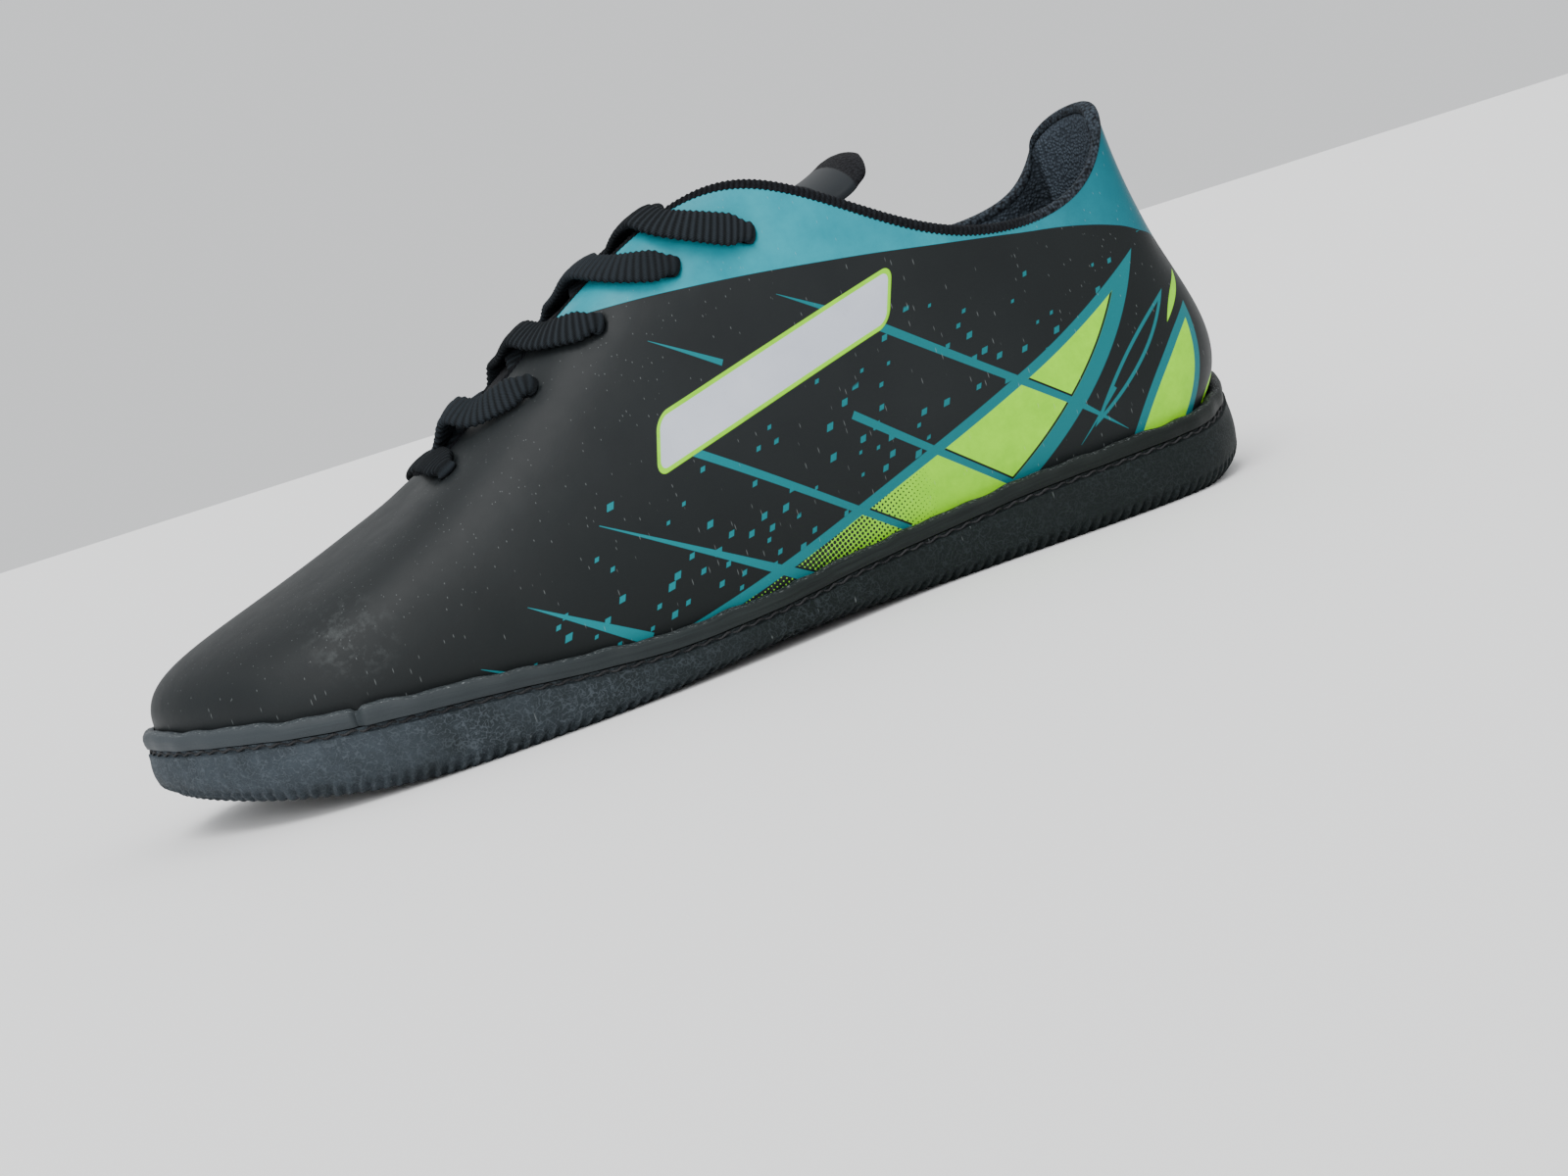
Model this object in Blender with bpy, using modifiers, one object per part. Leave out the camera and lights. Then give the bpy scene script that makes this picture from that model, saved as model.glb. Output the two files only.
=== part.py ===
# Futsal shoe for the left foot, standing empty on its sole.
# Metres, +Z up: the toe points to -X, the heel to +X, and the outer side of the foot to -Y.
import math

import bmesh
import bpy
import numpy as np
from mathutils import Matrix, Vector
from mathutils.bvhtree import BVHTree

# Driving sizes of the last
SOLE_LENGTH = 0.2800
BALL_WIDTH = 0.0924
HEEL_WIDTH = 0.0668
HEEL_HEIGHT = 0.0990
INSTEP_HEIGHT = 0.1030
MEDIAL_LIFT = 0.0050

# Driving sizes of the sole
SIDE_HEIGHT = 0.0190
TOE_SPRING = 0.0113
ARCH_LIFT = 0.0022
HEEL_BEVEL = 0.0053
SIDE_ROUNDING = 0.0030
FLOOR_SHARE = 0.42
RIM_HEIGHT = 0.0038
CUP_WALL = 0.0032
SEAM_HEIGHT = 0.0013
SEAM_DEPTH = 0.0010
SEAM_SLOPE = 0.0003
TREAD_PITCH = 0.0056
TREAD_GROOVE = 0.0020
TREAD_DEPTH = 0.0018
PAD_HALF_LENGTH = 0.0080

# Driving sizes of the upper and what lies in it
WALL = 0.0020
COLLAR_PAD = 0.0030
INSOLE_THICKNESS = 0.0035
INSOLE_ROUNDING = 0.0010
TONGUE_THICKNESS = 0.0035
TONGUE_CROWN = 0.0056
TONGUE_TIP = 0.0085
EYELET_RADIUS = 0.0023
LACE_WIDTH = 0.0080
LACE_THICKNESS = 0.0018
LACE_PUFF = 0.0010
FIT_GAP = 0.0003
LACE_CLEARANCE = 0.0009
TONGUE_CLEARANCE = 0.0010
LACE_END_INSET = 0.0045

# Resolution
COLUMNS = 88
UPPER_ROWS = 11
TONGUE_STATIONS = 17
TONGUE_SIDE_STEPS = 10
LACE_STATIONS = 15
LACE_PROBES = 61
PUNCH_SIDES = 10

# Up, and the least cosine that a face is taken to have against it when a gap is measured
UPRIGHT = Vector((0.0, 0.0, 1.0))
STEEPEST = 0.3

# Ribs of the last from the middle of the heel to the middle of the toe. Lengths are shares:
# x and reach of SOLE_LENGTH, y and belly of the width there, z, rise and drop of the height there.
# front says how far the width and height have gone over from the heel's to the ball's and instep's.
LAST_COLUMNS = ("front", "sole_x", "outer_y", "inner_y", "edge_x", "edge_y", "edge_z",
                "belly", "rise", "reach", "drop", "medial")
LAST_RIBS = [
    (0.0, 0.500, 0.000, 0.000, 0.445, 0.000, 1.000, 0.110, 0.250, 0.005, 0.390, 0.0),
    (0.0, 0.464, 0.344, 0.331, 0.431, 0.270, 0.950, 0.165, 0.160, 0.008, 0.430, 0.0),
    (0.0, 0.389, 0.542, 0.479, 0.386, 0.322, 0.803, 0.070, 0.200, 0.015, 0.160, 0.5),
    (0.0, 0.267, 0.542, 0.464, 0.280, 0.464, 0.768, 0.060, 0.160, 0.013, 0.145, 1.0),
    (0.5, 0.137, 0.431, 0.364, 0.187, 0.392, 0.856, 0.050, 0.200, 0.029, 0.197, 1.0),
    (1.0, 0.003, 0.453, 0.357, 0.089, 0.245, 1.000, 0.043, 0.252, 0.042, 0.197, 0.2),
    (1.0, -0.142, 0.505, 0.487, -0.015, 0.154, 0.943, 0.043, 0.234, 0.072, 0.106, 0.0),
    (1.0, -0.275, 0.492, 0.498, -0.133, 0.102, 0.751, 0.033, 0.188, 0.101, 0.172, 0.0),
    (1.0, -0.413, 0.359, 0.409, -0.206, 0.074, 0.618, 0.022, 0.153, 0.152, 0.225, 0.0),
    (1.0, -0.500, -0.058, 0.058, -0.223, 0.000, 0.605, 0.008, 0.156, 0.174, 0.214, 0.0),
]

# Height of the sole's side along the shoe: x as a share of SOLE_LENGTH, height of SIDE_HEIGHT
SIDE_COLUMNS = ("x", "height")
SIDE_STEPS = [
    (-0.500, 0.765), (-0.446, 0.880), (-0.375, 0.950), (-0.300, 0.970), (-0.160, 0.765),
    (-0.090, 0.635), (0.000, 0.595), (0.107, 0.755), (0.214, 0.910), (0.390, 0.985),
    (0.457, 1.000), (0.500, 1.060),
]

# Stretches of the sole's underside, as shares of SOLE_LENGTH
SPRING_START = -0.250
ARCH_MIDDLE = 0.010
ARCH_REACH = 0.186
BEVEL_START = 0.400
FOREFOOT_TREAD = (-0.420, -0.070)
HEEL_TREAD = (0.160, 0.450)
FOREFOOT_PAD = -0.213
HEEL_PAD = 0.290

# Profile of the sole's side from the floor to the seam, as (inset, height): inset from the outline
# as a share of SIDE_ROUNDING, height as a share of the side's height
SIDE_PROFILE = [(1.00, 0.00), (0.40, 0.12), (0.07, 0.36), (0.00, 0.64), (0.10, 0.90)]

# Profile round the rim strip's section, as (inset, height): shares of CUP_WALL and RIM_HEIGHT
RIM_PROFILE = [(0.22, 0.0), (0.16, 0.5), (0.28, 0.86), (0.56, 1.0), (1.0, 0.94), (1.0, 0.0)]

# The padding round the ankle is full up to the first rib and gone at the second. Up the wall it
# starts and is full at these shares of the height, and the rim keeps this share of it.
PADDING_RIBS = (3.6, 4.9)
PADDING_HEIGHTS = (0.45, 0.82)
RIM_PADDING = 0.30
RIM_ROUNDING = 0.40

# Eyelets from the toe up, as (rib, share): place between the ribs, and share of the way from the
# rim strip to the edge. The throat starts at the collar's front.
THROAT_START = 4.5
EYELETS = [(7.36, 0.83), (6.57, 0.75), (6.05, 0.74), (5.50, 0.78), (4.95, 0.84)]

# Tongue from under the vamp to its tip: x as a share of SOLE_LENGTH, crown of INSTEP_HEIGHT,
# half width of BALL_WIDTH
TONGUE_COLUMNS = ("x", "crown", "half")
TONGUE_RIBS = [
    (-0.275, 0.480, 0.110), (-0.225, 0.560, 0.140), (-0.140, 0.745, 0.175), (-0.060, 0.865, 0.205),
    (0.010, 0.930, 0.230), (0.070, 0.960, 0.242), (0.115, 0.962, 0.240), (0.160, 0.968, 0.240),
    (0.190, 0.995, 0.235), (0.206, 1.018, 0.180), (0.213, 1.026, 0.090),
]

def clear_scene():
    for item in list(bpy.data.objects):
        bpy.data.objects.remove(item, do_unlink=True)


def make_collection(name):
    collection = bpy.data.collections.new(name)
    bpy.context.scene.collection.children.link(collection)
    return collection


def make_material(name, colour, roughness):
    material = bpy.data.materials.new(name)
    material.use_nodes = True
    shader = material.node_tree.nodes["Principled BSDF"]
    shader.inputs["Base Color"].default_value = (*colour, 1.0)
    shader.inputs["Roughness"].default_value = roughness
    shader.inputs["Metallic"].default_value = 0.0
    return material


def column(table, names, name):
    return np.array([row[names.index(name)] for row in table])


def closed_spline(points):
    """Smooth closed curve through the points, one unit of its parameter from each to the next."""
    count = len(points)
    matrix = 4.0 * np.eye(count)
    for i in range(count):
        matrix[i, (i - 1) % count] = 1.0
        matrix[i, (i + 1) % count] = 1.0
    slopes = np.linalg.solve(matrix, 3.0 * (np.roll(points, -1, 0) - np.roll(points, 1, 0)))

    def at(u):
        u = np.asarray(u, float) % count
        i = np.floor(u).astype(int) % count
        j = (i + 1) % count
        t = (u - np.floor(u))[..., None]
        start = (2 * t**3 - 3 * t**2 + 1) * points[i] + (t**3 - 2 * t**2 + t) * slopes[i]
        return start + (3 * t**2 - 2 * t**3) * points[j] + (t**3 - t**2) * slopes[j]

    return at


def smooth_table(x, xs, ys):
    """Cubic through a table whose slopes are those of its neighbours."""
    slopes = np.gradient(ys, xs)
    i = np.clip(np.searchsorted(xs, x) - 1, 0, len(xs) - 2)
    span = xs[i + 1] - xs[i]
    t = np.clip((x - xs[i]) / span, 0.0, 1.0)
    start = (2 * t**3 - 3 * t**2 + 1) * ys[i] + (t**3 - 2 * t**2 + t) * span * slopes[i]
    return start + (3 * t**2 - 2 * t**3) * ys[i + 1] + (t**3 - t**2) * span * slopes[i + 1]


def unit(vectors):
    return vectors / np.maximum(np.linalg.norm(vectors, axis=-1, keepdims=True), 1e-9)


def ease(value, low, high):
    t = np.clip((value - low) / (high - low), 0.0, 1.0)
    return t * t * (3.0 - 2.0 * t)


def last_loop():
    """The ribs in metres, round the shoe: heel, outer side, toe, inner side."""
    rib = {name: column(LAST_RIBS, LAST_COLUMNS, name) for name in LAST_COLUMNS}
    width = HEEL_WIDTH + rib["front"] * (BALL_WIDTH - HEEL_WIDTH)
    height = HEEL_HEIGHT + rib["front"] * (INSTEP_HEIGHT - HEEL_HEIGHT)
    shared = [rib["edge_x"] * SOLE_LENGTH, rib["belly"] * width, rib["rise"] * height,
              rib["reach"] * SOLE_LENGTH, rib["drop"] * height]
    edge_y = rib["edge_y"] * width
    edge_z = rib["edge_z"] * height
    outer = np.stack([rib["sole_x"] * SOLE_LENGTH, -rib["outer_y"] * width, -edge_y, edge_z, *shared], 1)
    inner_z = edge_z + rib["medial"] * MEDIAL_LIFT
    inner = np.stack([rib["sole_x"] * SOLE_LENGTH, rib["inner_y"] * width, edge_y, inner_z, *shared], 1)
    return np.concatenate([outer, inner[-2:0:-1]])


LOOP = last_loop()
LOOP_LENGTH = len(LOOP)
RIB_AT = closed_spline(LOOP)


def underside(x):
    """Height of the sole's underside: flat at heel and forefoot, lifted at the toe, arch and heel end."""
    share = x / SOLE_LENGTH
    toe = np.clip((SPRING_START - share) / (SPRING_START + 0.5), 0.0, None) ** 2
    arch = np.cos(np.clip((share - ARCH_MIDDLE) / ARCH_REACH, -1.0, 1.0) * math.pi / 2) ** 2
    heel = np.clip((share - BEVEL_START) / (0.5 - BEVEL_START), 0.0, None) ** 2
    return TOE_SPRING * toe + ARCH_LIFT * arch + HEEL_BEVEL * heel


def side_height(x):
    steps = column(SIDE_STEPS, SIDE_COLUMNS, "x")
    heights = column(SIDE_STEPS, SIDE_COLUMNS, "height")
    return SIDE_HEIGHT * smooth_table(x / SOLE_LENGTH, steps, heights)


class Last:
    """Everything that the pieces share along the columns u round the shoe."""

    def __init__(self, u):
        self.u = u
        rib = RIB_AT(u)
        step = 1e-3
        along = unit(RIB_AT(u + step)[:, :2] - RIB_AT(u - step)[:, :2])
        self.plan = rib[:, :2]
        self.outward = np.stack([-along[:, 1], along[:, 0]], 1)
        self.edge = np.stack([rib[:, 4], rib[:, 2], rib[:, 3]], 1)
        self.belly, self.rise, self.reach, self.drop = rib[:, 5:9].T
        self.low = underside(self.plan[:, 0])
        self.side = side_height(self.plan[:, 0])
        self.top = self.low + self.side
        self.floor = self.low + FLOOR_SHARE * self.side
        self.seam = self.top - RIM_HEIGHT - FIT_GAP

    def ring(self, inset, z):
        return np.column_stack([self.plan - self.outward * inset, z])

    def outside(self, v):
        """The upper's outer face at share v of the way from the rim strip to the collar."""
        foot = self.ring(CUP_WALL + FIT_GAP, self.top)
        foot_pull = np.column_stack([self.outward * self.belly[:, None], self.rise])
        inward = unit((foot - self.edge)[:, :2]) * self.reach[:, None]
        edge_pull = np.column_stack([inward, -self.drop])
        a, b = foot + foot_pull, self.edge + edge_pull
        return (1 - v)**3 * foot + 3 * (1 - v)**2 * v * a + 3 * (1 - v) * v**2 * b + v**3 * self.edge


def face_normals(u, v):
    """Outward normals of the upper's outer face."""
    step = 1e-3
    here = Last(u)
    round_shoe = Last(u + step).outside(v) - Last(u - step).outside(v)
    up_rib = here.outside(min(v + step, 1.0)) - here.outside(max(v - step, 0.0))
    return unit(np.cross(up_rib, round_shoe))


def wall_thickness(u, v):
    """The lining and padding thicken round the ankle and thin out at the rim."""
    from_heel = np.minimum(u, LOOP_LENGTH - u)
    round_ankle = 1.0 - ease(from_heel, *PADDING_RIBS)
    at_rim = 1.0 - (1.0 - RIM_PADDING) * ease(v, PADDING_HEIGHTS[1], 1.0)
    return WALL + COLLAR_PAD * ease(v, *PADDING_HEIGHTS) * at_rim * round_ankle


def link_mesh(name, collection, bm, material, smooth_angle=40.0):
    bmesh.ops.recalc_face_normals(bm, faces=bm.faces)
    mesh = bpy.data.meshes.new(name)
    bm.to_mesh(mesh)
    bm.free()
    mesh.shade_smooth()
    mesh.set_sharp_from_angle(angle=math.radians(smooth_angle))
    item = bpy.data.objects.new(name, mesh)
    if material:
        item.data.materials.append(material)
    collection.objects.link(item)
    return item


def add_ring(bm, points):
    return [bm.verts.new(point) for point in points]


def join_rings(bm, rings, closed=False):
    """Quads between closed rings of equal length; closed joins the last ring to the first."""
    pairs = list(zip(rings[:-1], rings[1:]))
    if closed:
        pairs.append((rings[-1], rings[0]))
    for low, high in pairs:
        for i in range(len(low)):
            j = (i + 1) % len(low)
            bm.faces.new((low[i], low[j], high[j], high[i]))


def close_across(bm, ring):
    """Strips from the outer side of the ring to its inner side, like planks across a deck."""
    count = len(ring)
    for i in range(count // 2):
        corners = [ring[i], ring[i + 1], ring[count - i - 1], ring[(count - i) % count]]
        bm.faces.new(list(dict.fromkeys(corners)))


def cut_with(target, cutter):
    cut = target.modifiers.new("Cut", "BOOLEAN")
    cut.operation = "DIFFERENCE"
    cut.solver = "EXACT"
    cut.object = cutter


def hide_cutter(item):
    item.hide_render = True
    item.display_type = "WIRE"


def make_outsole(last, parts, cutters, material):
    bm = bmesh.new()
    rings = []
    wall = last.seam - SEAM_HEIGHT - last.low
    for inset, height in SIDE_PROFILE:
        rings.append(last.ring(inset * SIDE_ROUNDING, last.low + wall * height))
    lip = SIDE_PROFILE[-1][0] * SIDE_ROUNDING
    rings.append(last.ring(lip, last.seam - SEAM_HEIGHT))
    rings.append(last.ring(lip + SEAM_DEPTH, last.seam - SEAM_HEIGHT + SEAM_SLOPE))
    rings.append(last.ring(lip + SEAM_DEPTH, last.seam))
    rings.append(last.ring(CUP_WALL, last.seam))
    rings.append(last.ring(CUP_WALL, last.floor))
    rings = [add_ring(bm, points) for points in rings]
    join_rings(bm, rings)
    close_across(bm, rings[0])
    close_across(bm, rings[-1])
    outsole = link_mesh("outsole", parts, bm, material)
    cut_with(outsole, make_tread_cutter(cutters))
    return outsole


def make_tread_cutter(cutters):
    """Bars across the sole; the pads at heel and forefoot stay whole."""
    bm = bmesh.new()
    half_pad = PAD_HALF_LENGTH + TREAD_GROOVE / 2
    for start, end in (FOREFOOT_TREAD, HEEL_TREAD):
        length = (end - start) * SOLE_LENGTH
        for i in range(int(length / TREAD_PITCH) + 1):
            x = start * SOLE_LENGTH + i * TREAD_PITCH
            if min(abs(x - pad * SOLE_LENGTH) for pad in (FOREFOOT_PAD, HEEL_PAD)) < half_pad:
                continue
            ceiling = float(underside(x)) + TREAD_DEPTH
            size = Vector((TREAD_GROOVE, 2 * BALL_WIDTH, ceiling + SIDE_HEIGHT))
            middle = Vector((x, 0.0, ceiling - size.z / 2))
            bar = bmesh.ops.create_cube(bm, size=1.0)["verts"]
            bmesh.ops.scale(bm, vec=size, verts=bar)
            bmesh.ops.translate(bm, vec=middle, verts=bar)
    cutter = link_mesh("tread_cutter", cutters, bm, None)
    hide_cutter(cutter)
    return cutter


def make_rim_strip(last, parts, material):
    bm = bmesh.new()
    base = last.top - RIM_HEIGHT
    rings = [last.ring(inset * CUP_WALL, base + height * RIM_HEIGHT) for inset, height in RIM_PROFILE]
    join_rings(bm, [add_ring(bm, points) for points in rings], closed=True)
    return link_mesh("rim_strip", parts, bm, material)


def upper_rings(last):
    """Rings round the upper's wall: outer face up, over the rim, inner face down."""
    shares = np.linspace(0.0, 1.0, UPPER_ROWS)
    outer = [last.outside(v) for v in shares]
    walls = [wall_thickness(last.u, v)[:, None] for v in shares]
    normals = [face_normals(last.u, v) for v in shares]
    inner = [face - normal * wall for face, normal, wall in zip(outer, normals, walls)]
    upward = unit(outer[-1] - outer[-2])
    rim = (outer[-1] + inner[-1]) / 2 + upward * walls[-1] * RIM_ROUNDING
    base = CUP_WALL + FIT_GAP
    inner[0] = last.ring(base + WALL, last.top)
    skirt_z = last.floor + FIT_GAP
    return [last.ring(base, skirt_z), *outer, rim, *inner[::-1], last.ring(base + WALL, skirt_z)]


def ring_tree(rings):
    count = len(rings[0])
    points = [Vector(point) for ring in rings for point in ring]
    faces = []
    for row in range(len(rings) - 1):
        for i in range(count):
            j = (i + 1) % count
            faces.append((row * count + i, row * count + j, (row + 1) * count + j, (row + 1) * count + i))
    return BVHTree.FromPolygons(points, faces)


def eyelet_place(index, side):
    """Point and normal of an eyelet: side is -1 for the outer side and 1 for the inner side."""
    rib, share = EYELETS[index]
    u = np.array([rib if side < 0 else LOOP_LENGTH - rib])
    return Vector(Last(u).outside(share)[0]), Vector(face_normals(u, share)[0])


def make_upper(last, parts, cutters, material):
    bm = bmesh.new()
    join_rings(bm, [add_ring(bm, points) for points in upper_rings(last)], closed=True)
    upper = link_mesh("upper", parts, bm, material)
    punches = bmesh.new()
    for index in range(len(EYELETS)):
        for side in (-1, 1):
            point, normal = eyelet_place(index, side)
            turn = normal.to_track_quat("Z", "X").to_matrix().to_4x4()
            bmesh.ops.create_cone(punches, cap_ends=True, segments=PUNCH_SIDES, radius1=EYELET_RADIUS,
                                  radius2=EYELET_RADIUS, depth=6 * WALL,
                                  matrix=Matrix.Translation(point) @ turn)
    cutter = link_mesh("eyelet_punches", cutters, punches, None)
    hide_cutter(cutter)
    cut_with(upper, cutter)
    return upper


def make_insole(last, parts, material):
    bm = bmesh.new()
    edge = CUP_WALL + FIT_GAP + WALL + FIT_GAP
    low = last.floor + FIT_GAP
    rings = [last.ring(edge, low), last.ring(edge, low + INSOLE_THICKNESS - INSOLE_ROUNDING),
             last.ring(edge + INSOLE_ROUNDING, low + INSOLE_THICKNESS)]
    rings = [add_ring(bm, points) for points in rings]
    join_rings(bm, rings)
    close_across(bm, rings[0])
    close_across(bm, rings[-1])
    return link_mesh("insole", parts, bm, material)


def tongue_points(inner_tree):
    """Rows of points on the tongue's upper face: a low arch, held down where the upper covers it."""
    xs = column(TONGUE_RIBS, TONGUE_COLUMNS, "x") * SOLE_LENGTH
    crowns = column(TONGUE_RIBS, TONGUE_COLUMNS, "crown") * INSTEP_HEIGHT
    halves = column(TONGUE_RIBS, TONGUE_COLUMNS, "half") * BALL_WIDTH
    tip = np.searchsorted(xs, xs[-1] - TONGUE_TIP)
    stations = np.concatenate([np.linspace(xs[0], xs[tip - 1], TONGUE_STATIONS), xs[tip:]])
    sides = np.linspace(-1.0, 1.0, TONGUE_SIDE_STEPS + 1)
    bend = TONGUE_CROWN / halves.max() ** 2
    inside = Vector((0.0, 0.0, INSTEP_HEIGHT / 3))
    rows = []
    for x in stations:
        half = float(smooth_table(x, xs, halves))
        crown = float(smooth_table(x, xs, crowns))
        row = []
        for y in sides * half:
            height = crown - bend * y * y
            point, normal, _, _ = inner_tree.ray_cast(inside + Vector((x, y, 0.0)), UPRIGHT)
            if point is not None:
                height = min(height, point.z - TONGUE_CLEARANCE / max(abs(normal.z), STEEPEST))
            row.append(Vector((x, y, height)))
        rows.append(row)
    return rows


def make_tongue(rows, parts, material):
    bm = bmesh.new()
    grid = [add_ring(bm, row) for row in rows]
    for low, high in zip(grid[:-1], grid[1:]):
        for i in range(len(low) - 1):
            bm.faces.new((low[i], high[i], high[i + 1], low[i + 1]))
    for face in bm.faces:
        face.normal_update()
        if face.normal.z < 0:
            face.normal_flip()
    mesh = bpy.data.meshes.new("tongue")
    bm.to_mesh(mesh)
    bm.free()
    mesh.shade_smooth()
    tongue = bpy.data.objects.new("tongue", mesh)
    tongue.data.materials.append(material)
    parts.objects.link(tongue)
    solidify = tongue.modifiers.new("Thickness", "SOLIDIFY")
    solidify.thickness = TONGUE_THICKNESS
    solidify.offset = -1.0
    solidify.use_even_offset = True
    return tongue


def grid_tree(rows):
    width = len(rows[0])
    points = [point for row in rows for point in row]
    faces = []
    for r in range(len(rows) - 1):
        for i in range(width - 1):
            a = r * width + i
            faces.append((a, a + 1, a + width + 1, a + width))
    return BVHTree.FromPolygons(points, faces)


def skin_points(start, end, shift, trees):
    """Places over the upper and tongue along the upright plane through two ends, moved by shift.

    Each end is a point and the direction that faces away from the shoe there."""
    across = (end[0] - start[0]).cross(UPRIGHT).normalized()
    places = []
    for share in np.linspace(0.0, 1.0, LACE_PROBES):
        away = start[1] * (1 - share)**2 + end[1] * share**2
        away += UPRIGHT * 2 * share * (1 - share)
        away = (away - across * away.dot(across)).normalized()
        base = start[0].lerp(end[0], share) + shift
        reach = None
        for tree in trees:
            point, normal, _, _ = tree.ray_cast(base + away * INSTEP_HEIGHT / 2, -away)
            if point is not None:
                slope = max(abs(normal.dot(away)), STEEPEST)
                height = (point - base).dot(away) + (LACE_CLEARANCE + LACE_THICKNESS / 2) / slope
                reach = height if reach is None else max(reach, height)
        if reach is not None:
            places.append(base + away * reach)
    return places


def drawn_tight(places):
    """The line of a string pulled tight over the places."""
    heading = (places[-1] - places[0]).xy.normalized()
    flat = [Vector((place.xy.dot(heading), place.z)) for place in places]
    kept = []
    for i, point in enumerate(flat):
        while len(kept) > 1:
            a, b = flat[kept[-2]], flat[kept[-1]]
            if (b - a).x * (point - b).y - (b - a).y * (point - b).x < 0:
                break
            kept.pop()
        kept.append(i)
    line = np.array([places[i] for i in kept])
    lengths = np.concatenate([[0.0], np.cumsum(np.linalg.norm(np.diff(line, axis=0), axis=1))])
    stations = np.linspace(0.0, lengths[-1], LACE_STATIONS)
    return np.stack([np.interp(stations, lengths, line[:, axis]) for axis in range(3)], 1)


def lace_rings(start, end, puff, trees):
    """Sections of a flat lace from start to end over the upper and tongue: three points wide, two thick."""
    heading = (end[0] - start[0]).xy.normalized()
    across = Vector((heading.y, -heading.x, 0.0)) * LACE_WIDTH / 2
    bulge = puff * np.sin(np.linspace(0.0, math.pi, LACE_STATIONS))
    lines = []
    for offset in (-1.0, 0.0, 1.0):
        line = drawn_tight(skin_points(start, end, offset * across, trees))
        line[:, 2] += bulge
        lines.append(line)
    left, middle, right = lines
    along = unit(np.gradient(middle, axis=0))
    normal = unit(np.cross(along, right - left)) * LACE_THICKNESS / 2
    normal *= np.where(normal[:, 2:3] < 0, -1.0, 1.0)
    upper = [line + normal for line in lines]
    lower = [line - normal for line in lines[::-1]]
    return upper + lower


def make_lace(name, lines, collection, material):
    """A closed tube through the lines, which run round its section."""
    bm = bmesh.new()
    corners = [add_ring(bm, points) for points in lines]
    for i in range(len(corners)):
        low, high = corners[i], corners[(i + 1) % len(corners)]
        for s in range(len(low) - 1):
            bm.faces.new((low[s], low[s + 1], high[s + 1], high[s]))
    bm.faces.new([corner[0] for corner in corners])
    bm.faces.new([corner[-1] for corner in corners])
    return link_mesh(name, collection, bm, material)


def throat_half_width(x):
    """Half the gap between the eyestays at this place."""
    ribs = RIB_AT(np.linspace(THROAT_START, LOOP_LENGTH / 2, 200))
    nearest = np.argmin(np.abs(ribs[:, 4] - x))
    return abs(ribs[nearest, 2])


def lace_ends(index, side, tongue_tree):
    """A lace runs from an eyelet towards the next lower one of the other side, as far as its eyestay."""
    start = eyelet_place(index, side)
    far, _ = eyelet_place(index - 1, -side)
    direction = (far - start[0]).xy
    overhang = LACE_WIDTH / 2 * abs(direction.x) / direction.length + LACE_END_INSET
    for share in np.linspace(0.9, 0.3, LACE_PROBES):
        place = start[0].xy + direction * share
        if abs(place.y) + overhang < throat_half_width(place.x) or place.y * far.y < 0:
            break
    point, _, _, _ = tongue_tree.ray_cast(Vector((*place, 2 * INSTEP_HEIGHT)), -UPRIGHT)
    return start, (point, UPRIGHT)


def make_laces(parts, cutters, material, skin_tree, tongue_tree):
    trees = (skin_tree, tongue_tree)
    bar = lace_rings(eyelet_place(0, -1), eyelet_place(0, 1), LACE_PUFF, trees)
    make_lace("lace_bar", bar, parts, material)
    for index in range(1, len(EYELETS)):
        over = lace_rings(*lace_ends(index, -1, tongue_tree), LACE_PUFF, trees)
        under = lace_rings(*lace_ends(index, 1, tongue_tree), LACE_PUFF / 2, trees)
        crossing = make_lace(f"lace_cross_{index}", over, parts, material)
        other = make_lace(f"lace_under_{index}", under, cutters, material)
        hide_cutter(other)
        joined = crossing.modifiers.new("Crossing", "BOOLEAN")
        joined.operation = "UNION"
        joined.solver = "EXACT"
        joined.object = other


def build():
    clear_scene()
    parts = make_collection("futsal_shoe")
    cutters = make_collection("cutters")
    rubber = make_material("sole_rubber", (0.040, 0.045, 0.050), 0.75)
    strip_rubber = make_material("rim_rubber", (0.030, 0.034, 0.038), 0.65)
    synthetic = make_material("upper_synthetic", (0.018, 0.020, 0.022), 0.50)
    knit = make_material("tongue_knit", (0.012, 0.013, 0.015), 0.90)
    foam = make_material("insole_textile", (0.020, 0.020, 0.022), 0.95)
    braid = make_material("lace_braid", (0.008, 0.008, 0.010), 0.90)
    last = Last(np.arange(COLUMNS) / COLUMNS * LOOP_LENGTH)
    make_outsole(last, parts, cutters, rubber)
    make_rim_strip(last, parts, strip_rubber)
    make_upper(last, parts, cutters, synthetic)
    make_insole(last, parts, foam)
    rings = upper_rings(last)
    inner_tree = ring_tree(rings[UPPER_ROWS + 2:-1])
    skin_tree = ring_tree(rings[1:UPPER_ROWS + 4])
    rows = tongue_points(inner_tree)
    make_tongue(rows, parts, knit)
    make_laces(parts, cutters, braid, skin_tree, grid_tree(rows))


build()
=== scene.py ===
import math

import bmesh
import bpy
import numpy as np
from mathutils import Matrix, Vector
from mathutils.bvhtree import BVHTree


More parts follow.
